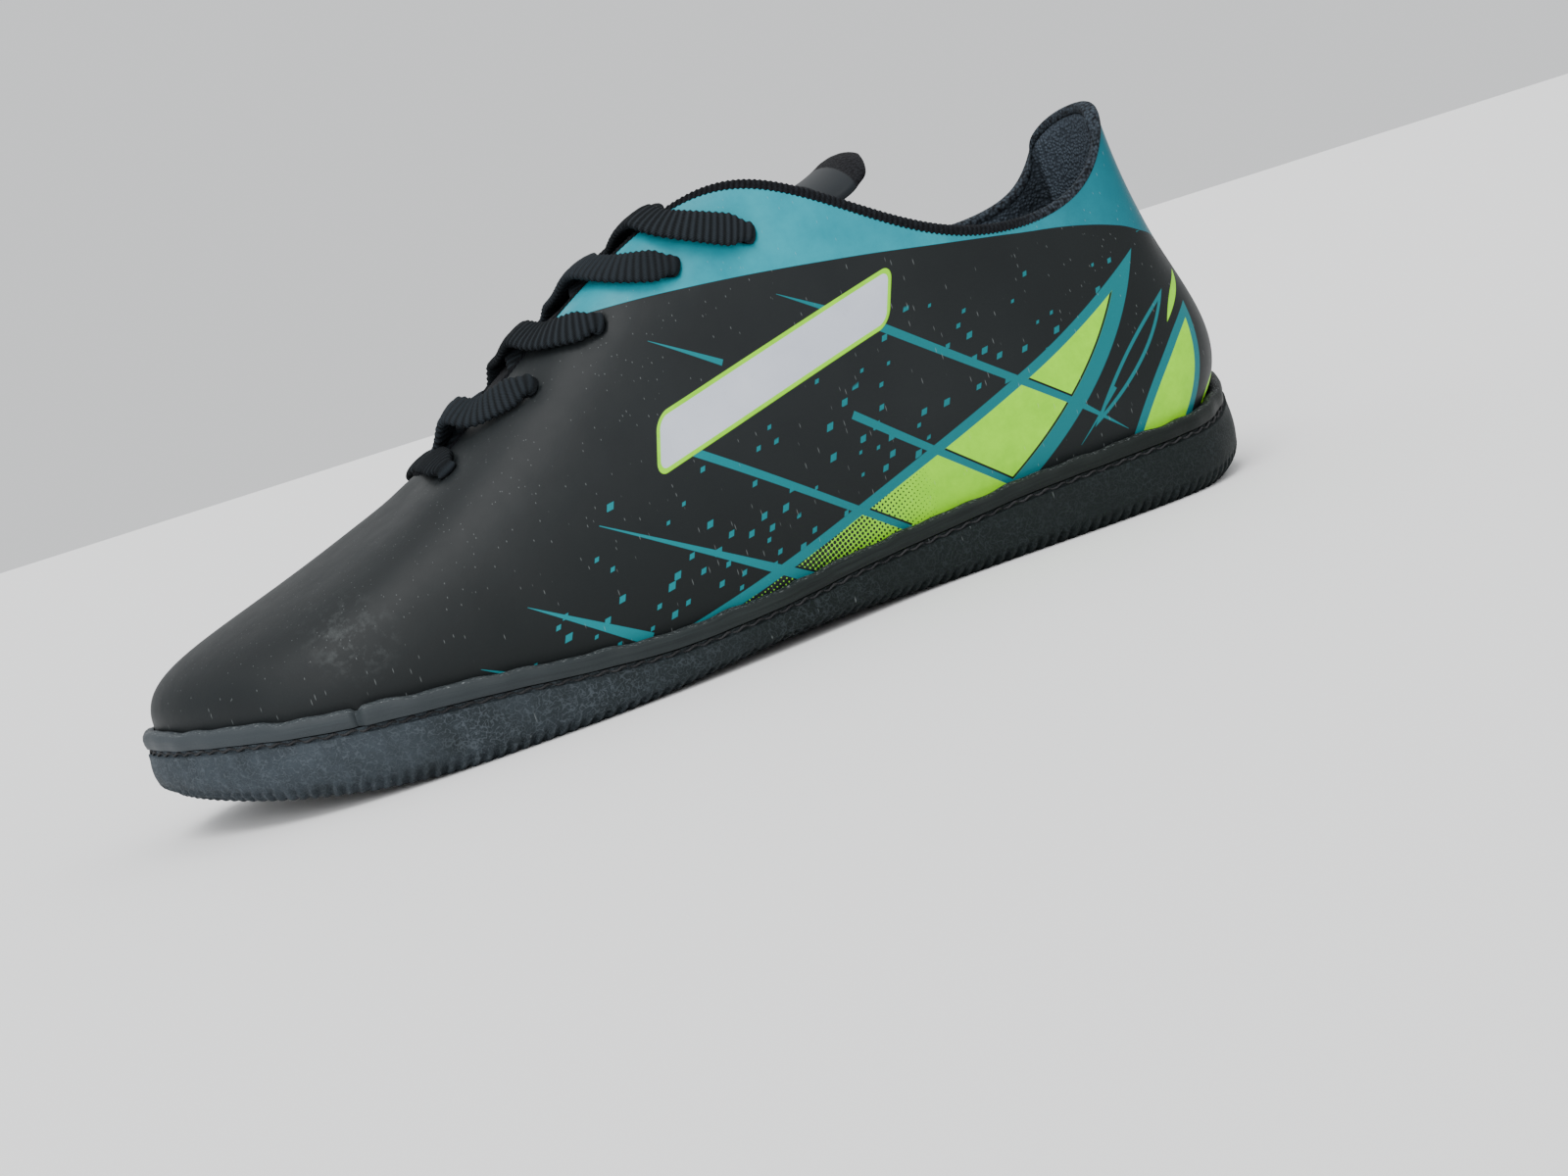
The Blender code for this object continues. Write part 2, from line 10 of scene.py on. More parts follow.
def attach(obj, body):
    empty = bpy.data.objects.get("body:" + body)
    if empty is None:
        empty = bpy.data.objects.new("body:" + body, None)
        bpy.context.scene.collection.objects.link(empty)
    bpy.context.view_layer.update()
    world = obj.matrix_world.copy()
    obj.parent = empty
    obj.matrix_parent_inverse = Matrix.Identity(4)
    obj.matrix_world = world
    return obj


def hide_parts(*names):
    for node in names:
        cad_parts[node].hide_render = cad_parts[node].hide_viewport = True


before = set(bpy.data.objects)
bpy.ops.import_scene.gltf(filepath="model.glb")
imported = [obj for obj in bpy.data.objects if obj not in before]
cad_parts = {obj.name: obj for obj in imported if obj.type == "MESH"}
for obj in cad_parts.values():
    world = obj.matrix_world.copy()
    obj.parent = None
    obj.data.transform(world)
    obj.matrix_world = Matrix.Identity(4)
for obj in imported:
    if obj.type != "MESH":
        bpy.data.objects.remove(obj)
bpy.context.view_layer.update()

print("frame loaded")

# The camera stands on the outer side, turned towards the toe, and rolls with the photo
cameraSizes = {
    "target": (0.01256, 0.0, 0.00799),
    "distance": 0.49713,
    "towardsToe": 17.06,
    "above": 7.18,
    "roll": -17.65,
    "focalPixels": 2077.6,
    "photoWidth": 1600,
    "sensor": 36.0,
    "clipStart": 0.01,
}


def makeCamera(sizes):
    turn, lift, roll = (math.radians(sizes[key]) for key in ("towardsToe", "above", "roll"))
    back = Vector((-math.sin(turn) * math.cos(lift), -math.cos(turn) * math.cos(lift), math.sin(lift)))
    level = (-back).cross(Vector((0, 0, 1))).normalized()
    upright = level.cross(-back)
    right = level * math.cos(roll) + upright * math.sin(roll)
    up = upright * math.cos(roll) - level * math.sin(roll)
    data = bpy.data.cameras.new("photoCamera")
    data.sensor_width = sizes["sensor"]
    data.lens = sizes["focalPixels"] * sizes["sensor"] / sizes["photoWidth"]
    data.clip_start = sizes["clipStart"]
    camera = bpy.data.objects.new("photoCamera", data)
    camera.matrix_world = Matrix((right, up, back)).transposed().to_4x4()
    camera.location = Vector(sizes["target"]) + back * sizes["distance"]
    bpy.context.scene.collection.objects.link(camera)
    bpy.context.scene.camera = camera


makeCamera(cameraSizes)
print("camera placed")

# The last, in metres. springStart, archMiddle, archReach and bevelStart are shares of the sole's length,
# padRibs are ribs from the heel, and padShares and edgePad are shares of the way up and of the padding.
lastSizes = {
    "soleLength": 0.2800,
    "ballWidth": 0.0924,
    "heelWidth": 0.0668,
    "heelHeight": 0.0990,
    "instepHeight": 0.1030,
    "medialLift": 0.0050,
    "sideHeight": 0.0190,
    "toeSpring": 0.0113,
    "springStart": -0.250,
    "archLift": 0.0022,
    "archMiddle": 0.010,
    "archReach": 0.186,
    "heelBevel": 0.0053,
    "bevelStart": 0.400,
    "floorShare": 0.42,
    "wall": 0.0020,
    "collarPad": 0.0030,
    "padRibs": (3.6, 4.9),
    "padShares": (0.45, 0.82),
    "edgePad": 0.3,
    "cupWall": 0.0032,
    "rimHeight": 0.0038,
    "gap": 0.0003,
}
# Ribs from the middle of the heel to the middle of the toe. Lengths are shares: x and reach of the
# sole's length, y and belly of the width there, heights of the height there. front goes from the
# heel's sizes to the ball's and instep's.
ribNames = ("front", "soleX", "outerY", "innerY", "edgeX", "edgeY", "edgeZ",
            "belly", "rise", "reach", "drop", "medial")
lastRibs = [
    (0.0, 0.500, 0.000, 0.000, 0.445, 0.000, 1.000, 0.110, 0.250, 0.005, 0.390, 0.0),
    (0.0, 0.464, 0.344, 0.331, 0.431, 0.270, 0.950, 0.165, 0.160, 0.008, 0.430, 0.0),
    (0.0, 0.389, 0.542, 0.479, 0.386, 0.322, 0.803, 0.070, 0.200, 0.015, 0.160, 0.5),
    (0.0, 0.267, 0.542, 0.464, 0.280, 0.464, 0.768, 0.060, 0.160, 0.013, 0.145, 1.0),
    (0.5, 0.137, 0.431, 0.364, 0.187, 0.392, 0.856, 0.050, 0.200, 0.029, 0.197, 1.0),
    (1.0, 0.003, 0.453, 0.357, 0.089, 0.245, 1.000, 0.043, 0.252, 0.042, 0.197, 0.2),
    (1.0, -0.142, 0.505, 0.487, -0.015, 0.154, 0.943, 0.043, 0.234, 0.072, 0.106, 0.0),
    (1.0, -0.275, 0.492, 0.498, -0.133, 0.102, 0.751, 0.033, 0.188, 0.101, 0.172, 0.0),
    (1.0, -0.413, 0.359, 0.409, -0.206, 0.074, 0.618, 0.022, 0.153, 0.152, 0.225, 0.0),
    (1.0, -0.500, -0.058, 0.058, -0.223, 0.000, 0.605, 0.008, 0.156, 0.174, 0.214, 0.0),
]
# Height of the sole's side: (x as a share of the length, share of sideHeight)
sideSteps = [
    (-0.500, 0.765), (-0.446, 0.880), (-0.375, 0.950), (-0.300, 0.970), (-0.160, 0.765),
    (-0.090, 0.635), (0.000, 0.595), (0.107, 0.755), (0.214, 0.910), (0.390, 0.985),
    (0.457, 1.000), (0.500, 1.060),
]
# Eyelets from the toe up: (rib, share of the way from the rim strip to the edge)
eyelets = [(7.36, 0.83), (6.57, 0.75), (6.05, 0.74), (5.50, 0.78), (4.95, 0.84)]
slopeStep = 1e-3  # in ribs or shares, for directions worked out from two near places
mergeDistance = 2e-6


def unit(vectors):
    return vectors / np.maximum(np.linalg.norm(vectors, axis=-1, keepdims=True), 1e-12)


def ease(value, low, high):
    t = np.clip((value - low) / (high - low), 0.0, 1.0)
    return t * t * (3.0 - 2.0 * t)


def hermite(t, start, end, startSlope, endSlope):
    return ((2 * t**3 - 3 * t**2 + 1) * start + (t**3 - 2 * t**2 + t) * startSlope
            + (3 * t**2 - 2 * t**3) * end + (t**3 - t**2) * endSlope)


def closedSpline(points):
    count = len(points)
    matrix = 4.0 * np.eye(count)
    for i in range(count):
        matrix[i, (i - 1) % count] = 1.0
        matrix[i, (i + 1) % count] = 1.0
    slopes = np.linalg.solve(matrix, 3.0 * (np.roll(points, -1, 0) - np.roll(points, 1, 0)))

    def at(u):
        u = np.asarray(u, float) % count
        i = np.floor(u).astype(int) % count
        j = (i + 1) % count
        return hermite((u - np.floor(u))[..., None], points[i], points[j], slopes[i], slopes[j])

    return at


def smoothTable(x, xs, ys):
    xs, ys = np.asarray(xs, float), np.asarray(ys, float)
    slopes = np.gradient(ys, xs)
    i = np.clip(np.searchsorted(xs, x) - 1, 0, len(xs) - 2)
    span = xs[i + 1] - xs[i]
    t = np.clip((x - xs[i]) / span, 0.0, 1.0)
    return hermite(t, ys[i], ys[i + 1], span * slopes[i], span * slopes[i + 1])


def runsOf(spots):
    # distance along a line of places, from its first
    return np.concatenate([[0.0], np.cumsum(np.linalg.norm(np.diff(spots, axis=0), axis=1))])


def resample(table, stations):
    # rows at these distances along the places in the first three columns
    runs = runsOf(table[:, :3])
    if isinstance(stations, int):
        stations = np.linspace(0.0, runs[-1], stations)
    return np.stack([np.interp(stations, runs, column) for column in table.T], 1)


def loopOfRibs(sizes):
    rib = {name: np.array([row[i] for row in lastRibs]) for i, name in enumerate(ribNames)}
    width = sizes["heelWidth"] + rib["front"] * (sizes["ballWidth"] - sizes["heelWidth"])
    height = sizes["heelHeight"] + rib["front"] * (sizes["instepHeight"] - sizes["heelHeight"])
    length = sizes["soleLength"]
    shared = [rib["edgeX"] * length, rib["belly"] * width, rib["rise"] * height,
              rib["reach"] * length, rib["drop"] * height]
    edgeY = rib["edgeY"] * width
    edgeZ = rib["edgeZ"] * height
    innerZ = edgeZ + rib["medial"] * sizes["medialLift"]
    outer = np.stack([rib["soleX"] * length, -rib["outerY"] * width, -edgeY, edgeZ, *shared], 1)
    inner = np.stack([rib["soleX"] * length, rib["innerY"] * width, edgeY, innerZ, *shared], 1)
    return np.concatenate([outer, inner[-2:0:-1]])


ribLoop = loopOfRibs(lastSizes)
loopLength = len(ribLoop)
toeRib = loopLength // 2
ribAt = closedSpline(ribLoop)


def underside(x):
    # height of the sole's lower face: toe spring, arch and bevelled heel
    share = x / lastSizes["soleLength"]
    springStart, bevelStart = lastSizes["springStart"], lastSizes["bevelStart"]
    toe = np.clip((springStart - share) / (0.5 + springStart), 0.0, None) ** 2
    fromArch = (share - lastSizes["archMiddle"]) / lastSizes["archReach"]
    arch = np.cos(np.clip(fromArch, -1.0, 1.0) * math.pi / 2) ** 2
    heel = np.clip((share - bevelStart) / (0.5 - bevelStart), 0.0, None) ** 2
    return lastSizes["toeSpring"] * toe + lastSizes["archLift"] * arch + lastSizes["heelBevel"] * heel


def lastAt(u):
    rib = ribAt(u)
    along = unit(ribAt(u + slopeStep)[..., :2] - ribAt(u - slopeStep)[..., :2])
    low = underside(rib[..., 0])
    side = lastSizes["sideHeight"] * smoothTable(rib[..., 0] / lastSizes["soleLength"], *zip(*sideSteps))
    return {
        "plan": rib[..., :2],
        "outward": np.stack([-along[..., 1], along[..., 0]], -1),
        "edge": rib[..., [4, 2, 3]],
        "belly": rib[..., 5:6], "rise": rib[..., 6], "reach": rib[..., 7:8], "drop": rib[..., 8],
        "low": low, "top": low + side,
        "floor": low + lastSizes["floorShare"] * side,
        "seam": low + side - lastSizes["rimHeight"] - lastSizes["gap"],
    }


def ringAt(last, inset, z):
    # places inside the outline by the inset, at height z
    shape = last["plan"].shape[:-1]
    spots = last["plan"] - last["outward"] * np.broadcast_to(inset, shape)[..., None]
    return np.concatenate([spots, np.broadcast_to(z, shape)[..., None]], -1)


def upperFace(u, v):
    # outer face of the upper at share v of the way from the rim strip to the edge
    last = lastAt(u)
    foot = ringAt(last, lastSizes["cupWall"] + lastSizes["gap"], last["top"])
    footPull = np.concatenate([last["outward"] * last["belly"], last["rise"][..., None]], -1)
    inward = unit((foot - last["edge"])[..., :2]) * last["reach"]
    edgePull = np.concatenate([inward, -last["drop"][..., None]], -1)
    v = np.expand_dims(v, -1)
    a, b = foot + footPull, last["edge"] + edgePull
    return (1 - v)**3 * foot + 3 * (1 - v)**2 * v * a + 3 * (1 - v) * v**2 * b + v**3 * last["edge"]


def faceNormals(u, v):
    across = upperFace(u + slopeStep, v) - upperFace(u - slopeStep, v)
    up = upperFace(u, np.minimum(v + slopeStep, 1.0)) - upperFace(u, np.maximum(v - slopeStep, 0.0))
    return unit(np.cross(up, across))


def fromHeel(u):
    # ribs from the middle of the heel, either way round
    return np.minimum(u % loopLength, loopLength - u % loopLength)


def wallAt(u, v):
    start, full = lastSizes["padShares"]
    padded = ease(v, start, full) * (1.0 - (1 - lastSizes["edgePad"]) * ease(v, full, 1.0))
    ankle = 1.0 - ease(fromHeel(u), *lastSizes["padRibs"])
    return lastSizes["wall"] + lastSizes["collarPad"] * padded * ankle


def aroundShoe(columns):
    return np.linspace(0.0, loopLength, columns + 1)


def outlineRuns(u, pitch=None):
    # distance along the sole's outline, stretched so that whole pitches go round
    run = runsOf(ribAt(u)[:, :2])
    return run * round(run[-1] / pitch) * pitch / run[-1] if pitch else run


# Where the print lies: distance along the shoe, wrapped round the heel, and height
wrapStart = 3.0
wrapRibs = np.linspace(0.0, toeRib, 361)
wrapShares = np.linspace(0.0, 1.0, 41)


def wrapTable():
    face = upperFace(*np.meshgrid(wrapRibs, wrapShares))
    steps = np.linalg.norm(np.diff(face, axis=1), axis=2)
    run = np.concatenate([np.zeros((len(face), 1)), np.cumsum(steps, axis=1)], 1)
    start = np.argmin(abs(wrapRibs - wrapStart))
    wrapped = face[:, start:start + 1, 0] + run[:, start:start + 1] - run
    return np.where(wrapRibs >= wrapStart, face[..., 0], wrapped)


wrapGrid = wrapTable()


def wrapAt(u, v):
    column = fromHeel(u) / toeRib * (len(wrapRibs) - 1)
    row = np.clip(v, 0.0, 1.0) * (len(wrapShares) - 1)
    i = np.clip(np.floor(column).astype(int), 0, len(wrapRibs) - 2)
    j = np.clip(np.floor(row).astype(int), 0, len(wrapShares) - 2)
    s, t = column - i, row - j
    low = wrapGrid[j, i] * (1 - s) + wrapGrid[j, i + 1] * s
    return low * (1 - t) + (wrapGrid[j + 1, i] * (1 - s) + wrapGrid[j + 1, i + 1] * s) * t


def drapeGrid(spots, marks=None):
    # a grid whose points go to the places of a table of rows and columns
    spots = np.asarray(spots)
    rows, columns = spots.shape[:2]
    bm = bmesh.new()
    bmesh.ops.create_grid(bm, x_segments=columns - 1, y_segments=rows - 1, size=0.5)
    layers = [(bm.verts.layers.float_vector.new(key), values) for key, values in (marks or {}).items()]
    for vert in bm.verts:
        row = round((vert.co.y + 0.5) * (rows - 1))
        column = round((vert.co.x + 0.5) * (columns - 1))
        vert.co = spots[row, column]
        for layer, values in layers:
            vert[layer] = values[row][column]
    bmesh.ops.remove_doubles(bm, verts=bm.verts, dist=mergeDistance)
    bmesh.ops.recalc_face_normals(bm, faces=bm.faces)
    return bm


def closeEnds(bm):
    bmesh.ops.holes_fill(bm, edges=[edge for edge in bm.edges if edge.is_boundary])
    bmesh.ops.recalc_face_normals(bm, faces=bm.faces)


def squarish(around, widePower=1.0, highPower=1.0):
    # angle, across and up of points round a section, from a circle to a rounded box
    angle = np.linspace(0.0, 2 * math.pi, around + 1)
    c, s = np.cos(angle), np.sin(angle)
    return np.stack([angle, np.copysign(abs(c) ** widePower, c), np.copysign(abs(s) ** highPower, s)], 1)


def runMark(run, across):
    return np.stack([run, np.full(len(run), across), 0 * run], -1)


def tubeGrid(middle, side, rise, section, run, across):
    # a section carried along a line, marked with the run and the distance across it
    rows = [middle + side * wide + rise * high for _, wide, high in section]
    return drapeGrid(rows, {"run": [runMark(run, place) for place in across]})


def treeOf(spots):
    rows, columns = spots.shape[:2]
    corners = np.arange(rows * columns).reshape(rows, columns)
    faces = np.stack([corners[:-1, :-1], corners[:-1, 1:], corners[1:, 1:], corners[1:, :-1]], -1)
    return BVHTree.FromPolygons(spots.reshape(-1, 3).tolist(), faces.reshape(-1, 4).tolist())


def addPiece(name, bm, material, sharpAngle=60.0):
    mesh = bpy.data.meshes.new(name)
    bm.to_mesh(mesh)
    bm.free()
    mesh.shade_smooth()
    mesh.set_sharp_from_angle(angle=math.radians(sharpAngle))
    mesh.materials.append(material)
    piece = bpy.data.objects.new(name, mesh)
    bpy.context.scene.collection.objects.link(piece)
    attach(piece, "root")
    return piece


def thicken(piece, thickness, offset):
    wall = piece.modifiers.new("Thickness", "SOLIDIFY")
    wall.thickness = thickness
    wall.offset = offset
    wall.use_even_offset = True


def mathMethod(operation, swapped=False):
    def method(self, other):
        return self.join(operation, other, self) if swapped else self.join(operation, self, other)

    return method


class Signal:
    # a node's output that takes part in Python sums
    def __init__(self, paint, socket):
        self.paint = paint
        self.socket = socket

    def join(self, operation, *values, clamp=False):
        settings = {"operation": operation, "use_clamp": clamp}
        return self.paint.add("Math", settings, dict(enumerate(values)))

    __add__, __radd__ = mathMethod("ADD"), mathMethod("ADD", True)
    __sub__, __rsub__ = mathMethod("SUBTRACT"), mathMethod("SUBTRACT", True)
    __mul__, __rmul__ = mathMethod("MULTIPLY"), mathMethod("MULTIPLY", True)
    __truediv__, __pow__ = mathMethod("DIVIDE"), mathMethod("POWER")
    least, most = mathMethod("MINIMUM"), mathMethod("MAXIMUM")

    def __abs__(self):
        return self.join("ABSOLUTE", self)

    def floor(self):
        return self.join("FLOOR", self)

    def fraction(self):
        return self.join("FRACT", self)

    def also(self, name):
        return Signal(self.paint, self.socket.node.outputs[name])

    def soft(self, width=0.12):
        # 0 below zero and 1 above it, with an edge of this width
        return self.join("MULTIPLY_ADD", self, 1.0 / width, 0.5, clamp=True)

    def ramp(self, low, high):
        return self.join("MULTIPLY_ADD", self, 1.0 / (high - low), -low / (high - low), clamp=True)

    def sine(self, pitch):
        return self.join("SINE", self * (2 * math.pi / pitch))

    def wave(self, pitch):
        # from 0 to 1 and back in each pitch
        return self.sine(pitch) * 0.5 + 0.5


class Paint:
    def __init__(self, name):
        self.material = bpy.data.materials.new(name)
        self.material.use_nodes = True
        self.tree = self.material.node_tree
        self.shader = self.tree.nodes["Principled BSDF"]

    def add(self, kind, settings, sockets, output=0):
        node = self.tree.nodes.new("ShaderNode" + kind)
        for name, value in settings.items():
            if name == "curve":
                points = node.mapping.curves[0].points
                while len(points) < len(value):
                    points.new(0.5, 0.5)
                for point, place in zip(points, value):
                    point.location = place
                node.mapping.update()
            else:
                setattr(node, name, value)
        for slot, value in sockets.items():
            self.feed(node.inputs[slot], value)
        return Signal(self, node.outputs[output])

    def feed(self, socket, value):
        if isinstance(value, Signal):
            self.tree.links.new(value.socket, socket)
        else:
            socket.default_value = value

    def scaled(self, vector, strength):
        return self.add("VectorMath", {"operation": "SCALE"}, {0: vector, "Scale": strength})

    def objectPlace(self):
        # millimetres in the shoe's own frame
        return self.scaled(self.add("TexCoord", {}, {}, "Object"), 1000.0)

    def mark(self, name, scale=1000.0):
        return self.scaled(self.add("Attribute", {"attribute_name": name}, {}, "Vector"), scale)

    def parts(self, vector):
        split = self.add("SeparateXYZ", {}, {0: vector})
        return split, split.also("Y"), split.also("Z")

    def vector(self, x, y):
        return self.add("CombineXYZ", {}, {0: x, 1: y})

    def distance(self, vector, point):
        return self.add("VectorMath", {"operation": "DISTANCE"}, {0: vector, 1: point}, "Value")

    def noise(self, place, scale, detail=3.0, roughness=0.55):
        sockets = {"Vector": place, "Scale": scale, "Detail": detail, "Roughness": roughness}
        return self.add("TexNoise", {}, sockets)

    def cells(self, place, scale, randomness=1.0):
        sockets = {"Vector": place, "Scale": scale, "Randomness": randomness}
        return self.add("TexVoronoi", {}, sockets)

    def loops(self, place, scale, randomness=0.75):
        # height of the small loops of a textile, 0 between them
        return 1.0 - self.cells(place, scale, randomness).ramp(0.0, 0.75)

    def mix(self, share, first, second):
        first, second = (c if isinstance(c, Signal) else (*c, 1.0) for c in (first, second))
        return self.add("Mix", {"data_type": "RGBA"}, {0: share, 6: first, 7: second}, 2)

    def bump(self, height, distance, strength, under=None):
        sockets = {"Height": height, "Distance": distance, "Strength": strength}
        if under:
            sockets["Normal"] = under
        return self.add("Bump", {}, sockets)

    def finish(self, colour, roughness, normal=None, specular=0.5):
        values = {"Base Color": colour, "Roughness": roughness, "Specular IOR Level": specular}
        if normal:
            values["Normal"] = normal
        for name, value in values.items():
            self.feed(self.shader.inputs[name], value)
        return self.material


# Short pale fibres lying two ways, in their own cells
lintSizes = {
    "tilt": 0.4,
    "turns": (0.5, 2.1),
    "stretch": 0.13,
    "width": 0.085,
    "dust": (0.300, 0.330, 0.330),
}


def lint(paint, place, share, scale=0.55):
    # fibres in this share of the cells
    fibres = []
    for turn in lintSizes["turns"]:
        rotation = (lintSizes["tilt"], turn, 0.0)
        sockets = {"Vector": place, "Rotation": rotation, "Scale": (1.0, 1.0, lintSizes["stretch"])}
        dots = paint.cells(paint.add("Mapping", {}, sockets), scale)
        chance = paint.parts(dots.also("Color"))[0]
        fibres.append((lintSizes["width"] - dots).soft(0.05) * (share - chance).soft(0.02))
    return fibres[0].most(fibres[1])


print("helpers ready")

printColours = {
    "charcoal": (0.0072, 0.0092, 0.0102),
    "paleCharcoal": (0.0098, 0.0122, 0.0132),
    "paintedShadeBlack": (0.0024, 0.0044, 0.0046),
    "teal": (0.003, 0.195, 0.250),
    "sheenTeal": (0.014, 0.270, 0.330),
    "heelTeal": (0.000, 0.075, 0.100),
    "stripeTeal": (0.000, 0.160, 0.185),
    "deepTeal": (0.000, 0.120, 0.138),
    "shadow": (0.002, 0.002, 0.002),
    "neon": (0.255, 0.670, 0.000),
    "deepNeon": (0.205, 0.570, 0.000),
    "grey": (0.500, 0.530, 0.600),
    "deepGrey": (0.430, 0.460, 0.530),
}
# Millimetres along the shoe and up it. Bands are arcs from start to end that bulge left by sag.
printPlan = {
    "panelEdge": [(-60, 84.8), (-19.7, 84.7), (6.0, 83.2), (40.7, 79.3), (67.4, 75.2), (84.0, 72.9),
                  (104.4, 70.1), (115.7, 67.1), (123.2, 63.9), (160.0, 57.0)],
    "panelStart": -60.0,
    "panelReach": 240.0,
    # Painted shade: where the upper is darkened, low on the vamp side and towards the heel
    "lowShade": (50.0, 18.0),
    "vampShade": (-118.0, -62.0),
    "heelShade": (30.0, 110.0),
    "bandLeft": ((-24.0, 12.6), (116.0, 61.0), -5.4),
    "bandRight": ((116.0, 61.0), (68.0, 15.5), 3.2),
    "leftBorder": 2.3,
    "rightBorder": 3.8,
    "bladeOuter": ((96.0, 16.0), (126.5, 45.0), 2.6),
    "bladeInner": ((126.5, 45.0), (113.0, 14.0), 3.4),
    "bladeBorder": 2.2,
    "leafOuter": ((88.0, 23.5), (120.0, 49.5), 2.6),
    "leafInner": ((120.0, 49.5), (88.0, 23.5), 2.2),
    "leafLine": 0.42,
    "badgeMiddle": (16.0, 60.0),
    "badgeHalf": (34.0, 5.8),
    "badgeTurn": 14.0,
    "badgeSlant": 0.7,
    "badgeRound": 3.0,
    "badgeEdge": 0.95,
    "shadowLine": 0.5,
    "shadowShift": (-0.25, -0.42, 0.0),
    "shadowStripes": 5,
    "dotPitch": 1.02,
    "dotTurn": 20.0,
    "dotGrowth": (46.0, 0.0),
    "dotSize": 0.58,
    "dotEnd": 48.0,
    "speckCell": 4.3,
    "speckTurn": 38.0,
    "speckFade": (36.0, 2.0),
    "speckStart": (-66.0, -38.0),
    "speckTop": 62.0,
    "speckShare": 0.62,
    "smearPlace": (-93.0, 34.0, 0.0),
    "smearReach": (11.0, 1.0),
}
# Stripes: start, end, half width at each
crossStripes = [
    ((43.0, 62.6), (85.0, 30.6), 1.05, 0.85), ((85.0, 30.6), (96.5, 20.5), 0.8, 0.05),
    ((30.6, 44.6), (65.5, 16.6), 1.0, 0.75),
    ((-14.6, 52.0), (37.0, 15.0), 1.0, 0.8),
    ((-35.6, 39.8), (9.0, 12.6), 0.1, 1.3),
    ((-56.4, 28.4), (-32.6, 12.8), 0.05, 1.5),
    ((-9.6, 74.6), (4.6, 65.0), 0.05, 0.75),
    ((22.6, 76.0), (33.0, 69.4), 0.05, 0.6),
    ((-70.0, 19.2), (-62.0, 15.0), 0.05, 0.5),
    ((83.5, 20.5), (96.0, 31.0), 0.05, 0.45),
]
# Slim neon leaves at the heel: start, end, the two sags
neonLeaves = [((117.0, 41.5), (131.0, 53.0), 1.6, 0.5), ((123.0, 19.0), (134.0, 26.0), 1.4, 0.5)]


def arcEdge(paint, spot, start, end, sag):
    # millimetres to the right of the arc from start to end
    chord = math.dist(start, end)
    radius = (chord * chord / 4 + sag * sag) / (2 * abs(sag))
    left = (-(end[1] - start[1]) / chord, (end[0] - start[0]) / chord)
    reach = sag - math.copysign(radius, sag)
    centre = ((start[0] + end[0]) / 2 + left[0] * reach, (start[1] + end[1]) / 2 + left[1] * reach, 0.0)
    away = paint.distance(spot, centre)
    return radius - away if sag > 0 else away - radius


def between(paint, spot, first, second):
    # millimetres inside the field between two arcs
    return arcEdge(paint, spot, *first).least(arcEdge(paint, spot, *second))


def stripe(w, z, start, end, startHalf, endHalf):
    length = math.dist(start, end)
    dw, dz = (end[0] - start[0]) / length, (end[1] - start[1]) / length
    along = w * dw + z * dz - (start[0] * dw + start[1] * dz)
    across = abs(w * dz - z * dw - (start[0] * dz - start[1] * dw))
    half = along * ((endHalf - startHalf) / length) + startHalf
    return (half - across).soft() * along.least(length - along).soft()


def stripeMask(w, z, rows):
    mask = stripe(w, z, *rows[0])
    for row in rows[1:]:
        mask = mask.most(stripe(w, z, *row))
    return mask


def turned(w, z, degrees):
    c, s = math.cos(math.radians(degrees)), math.sin(math.radians(degrees))
    return w * c + z * s, z * c - w * s


def badgeDepth(w, z, plan):
    # millimetres inside a slanted bar with round corners
    middle = plan["badgeMiddle"]
    across, up = turned(w - middle[0], z - middle[1], plan["badgeTurn"])
    across = across - up * plan["badgeSlant"]
    halfWide, halfHigh = plan["badgeHalf"]
    wide = (abs(across) - (halfWide - plan["badgeRound"])).most(0.0)
    high = (abs(up) - (halfHigh - plan["badgeRound"])).most(0.0)
    return plan["badgeRound"] - (wide * wide + high * high) ** 0.5


def specks(paint, w, z, left, plan):
    # small rhombs, one in some cells of a turned grid, thinner away from the left band
    along, across = (side / plan["speckCell"] for side in turned(w, z, plan["speckTurn"]))
    cellX, cellY = along.floor(), across.floor()
    sockets = {"Vector": paint.vector(cellX, cellY)}
    dice = paint.add("TexWhiteNoise", {"noise_dimensions": "2D"}, sockets, "Color")
    first, second, third = paint.parts(dice)
    x = abs(along - cellX - 0.25 - first * 0.5)
    y = abs(across - cellY - 0.25 - second * 0.5)
    rhomb = (0.09 + third * 0.11 - x * 0.55 - y).soft(0.02)
    outside = left * -1.0
    chance = outside.ramp(*plan["speckFade"]) * outside.soft(0.5) * plan["speckShare"]
    chance = chance * (plan["speckTop"] - z).soft(8.0) * w.ramp(*plan["speckStart"])
    return rhomb * (chance - (first * 7.31 + second * 3.17).fraction()).soft(0.01)


def dotFade(w, z, plan):
    # dots in a turned grid that grow towards the toe
    dotX, dotY = ((side / plan["dotPitch"]).fraction() - 0.5 for side in turned(w, z, plan["dotTurn"]))
    away = (dotX * dotX + dotY * dotY) ** 0.5
    size = w.ramp(*plan["dotGrowth"]) ** 0.6 * plan["dotSize"]
    return (size - away).soft(0.08) * (plan["dotEnd"] - w).soft(0.5)


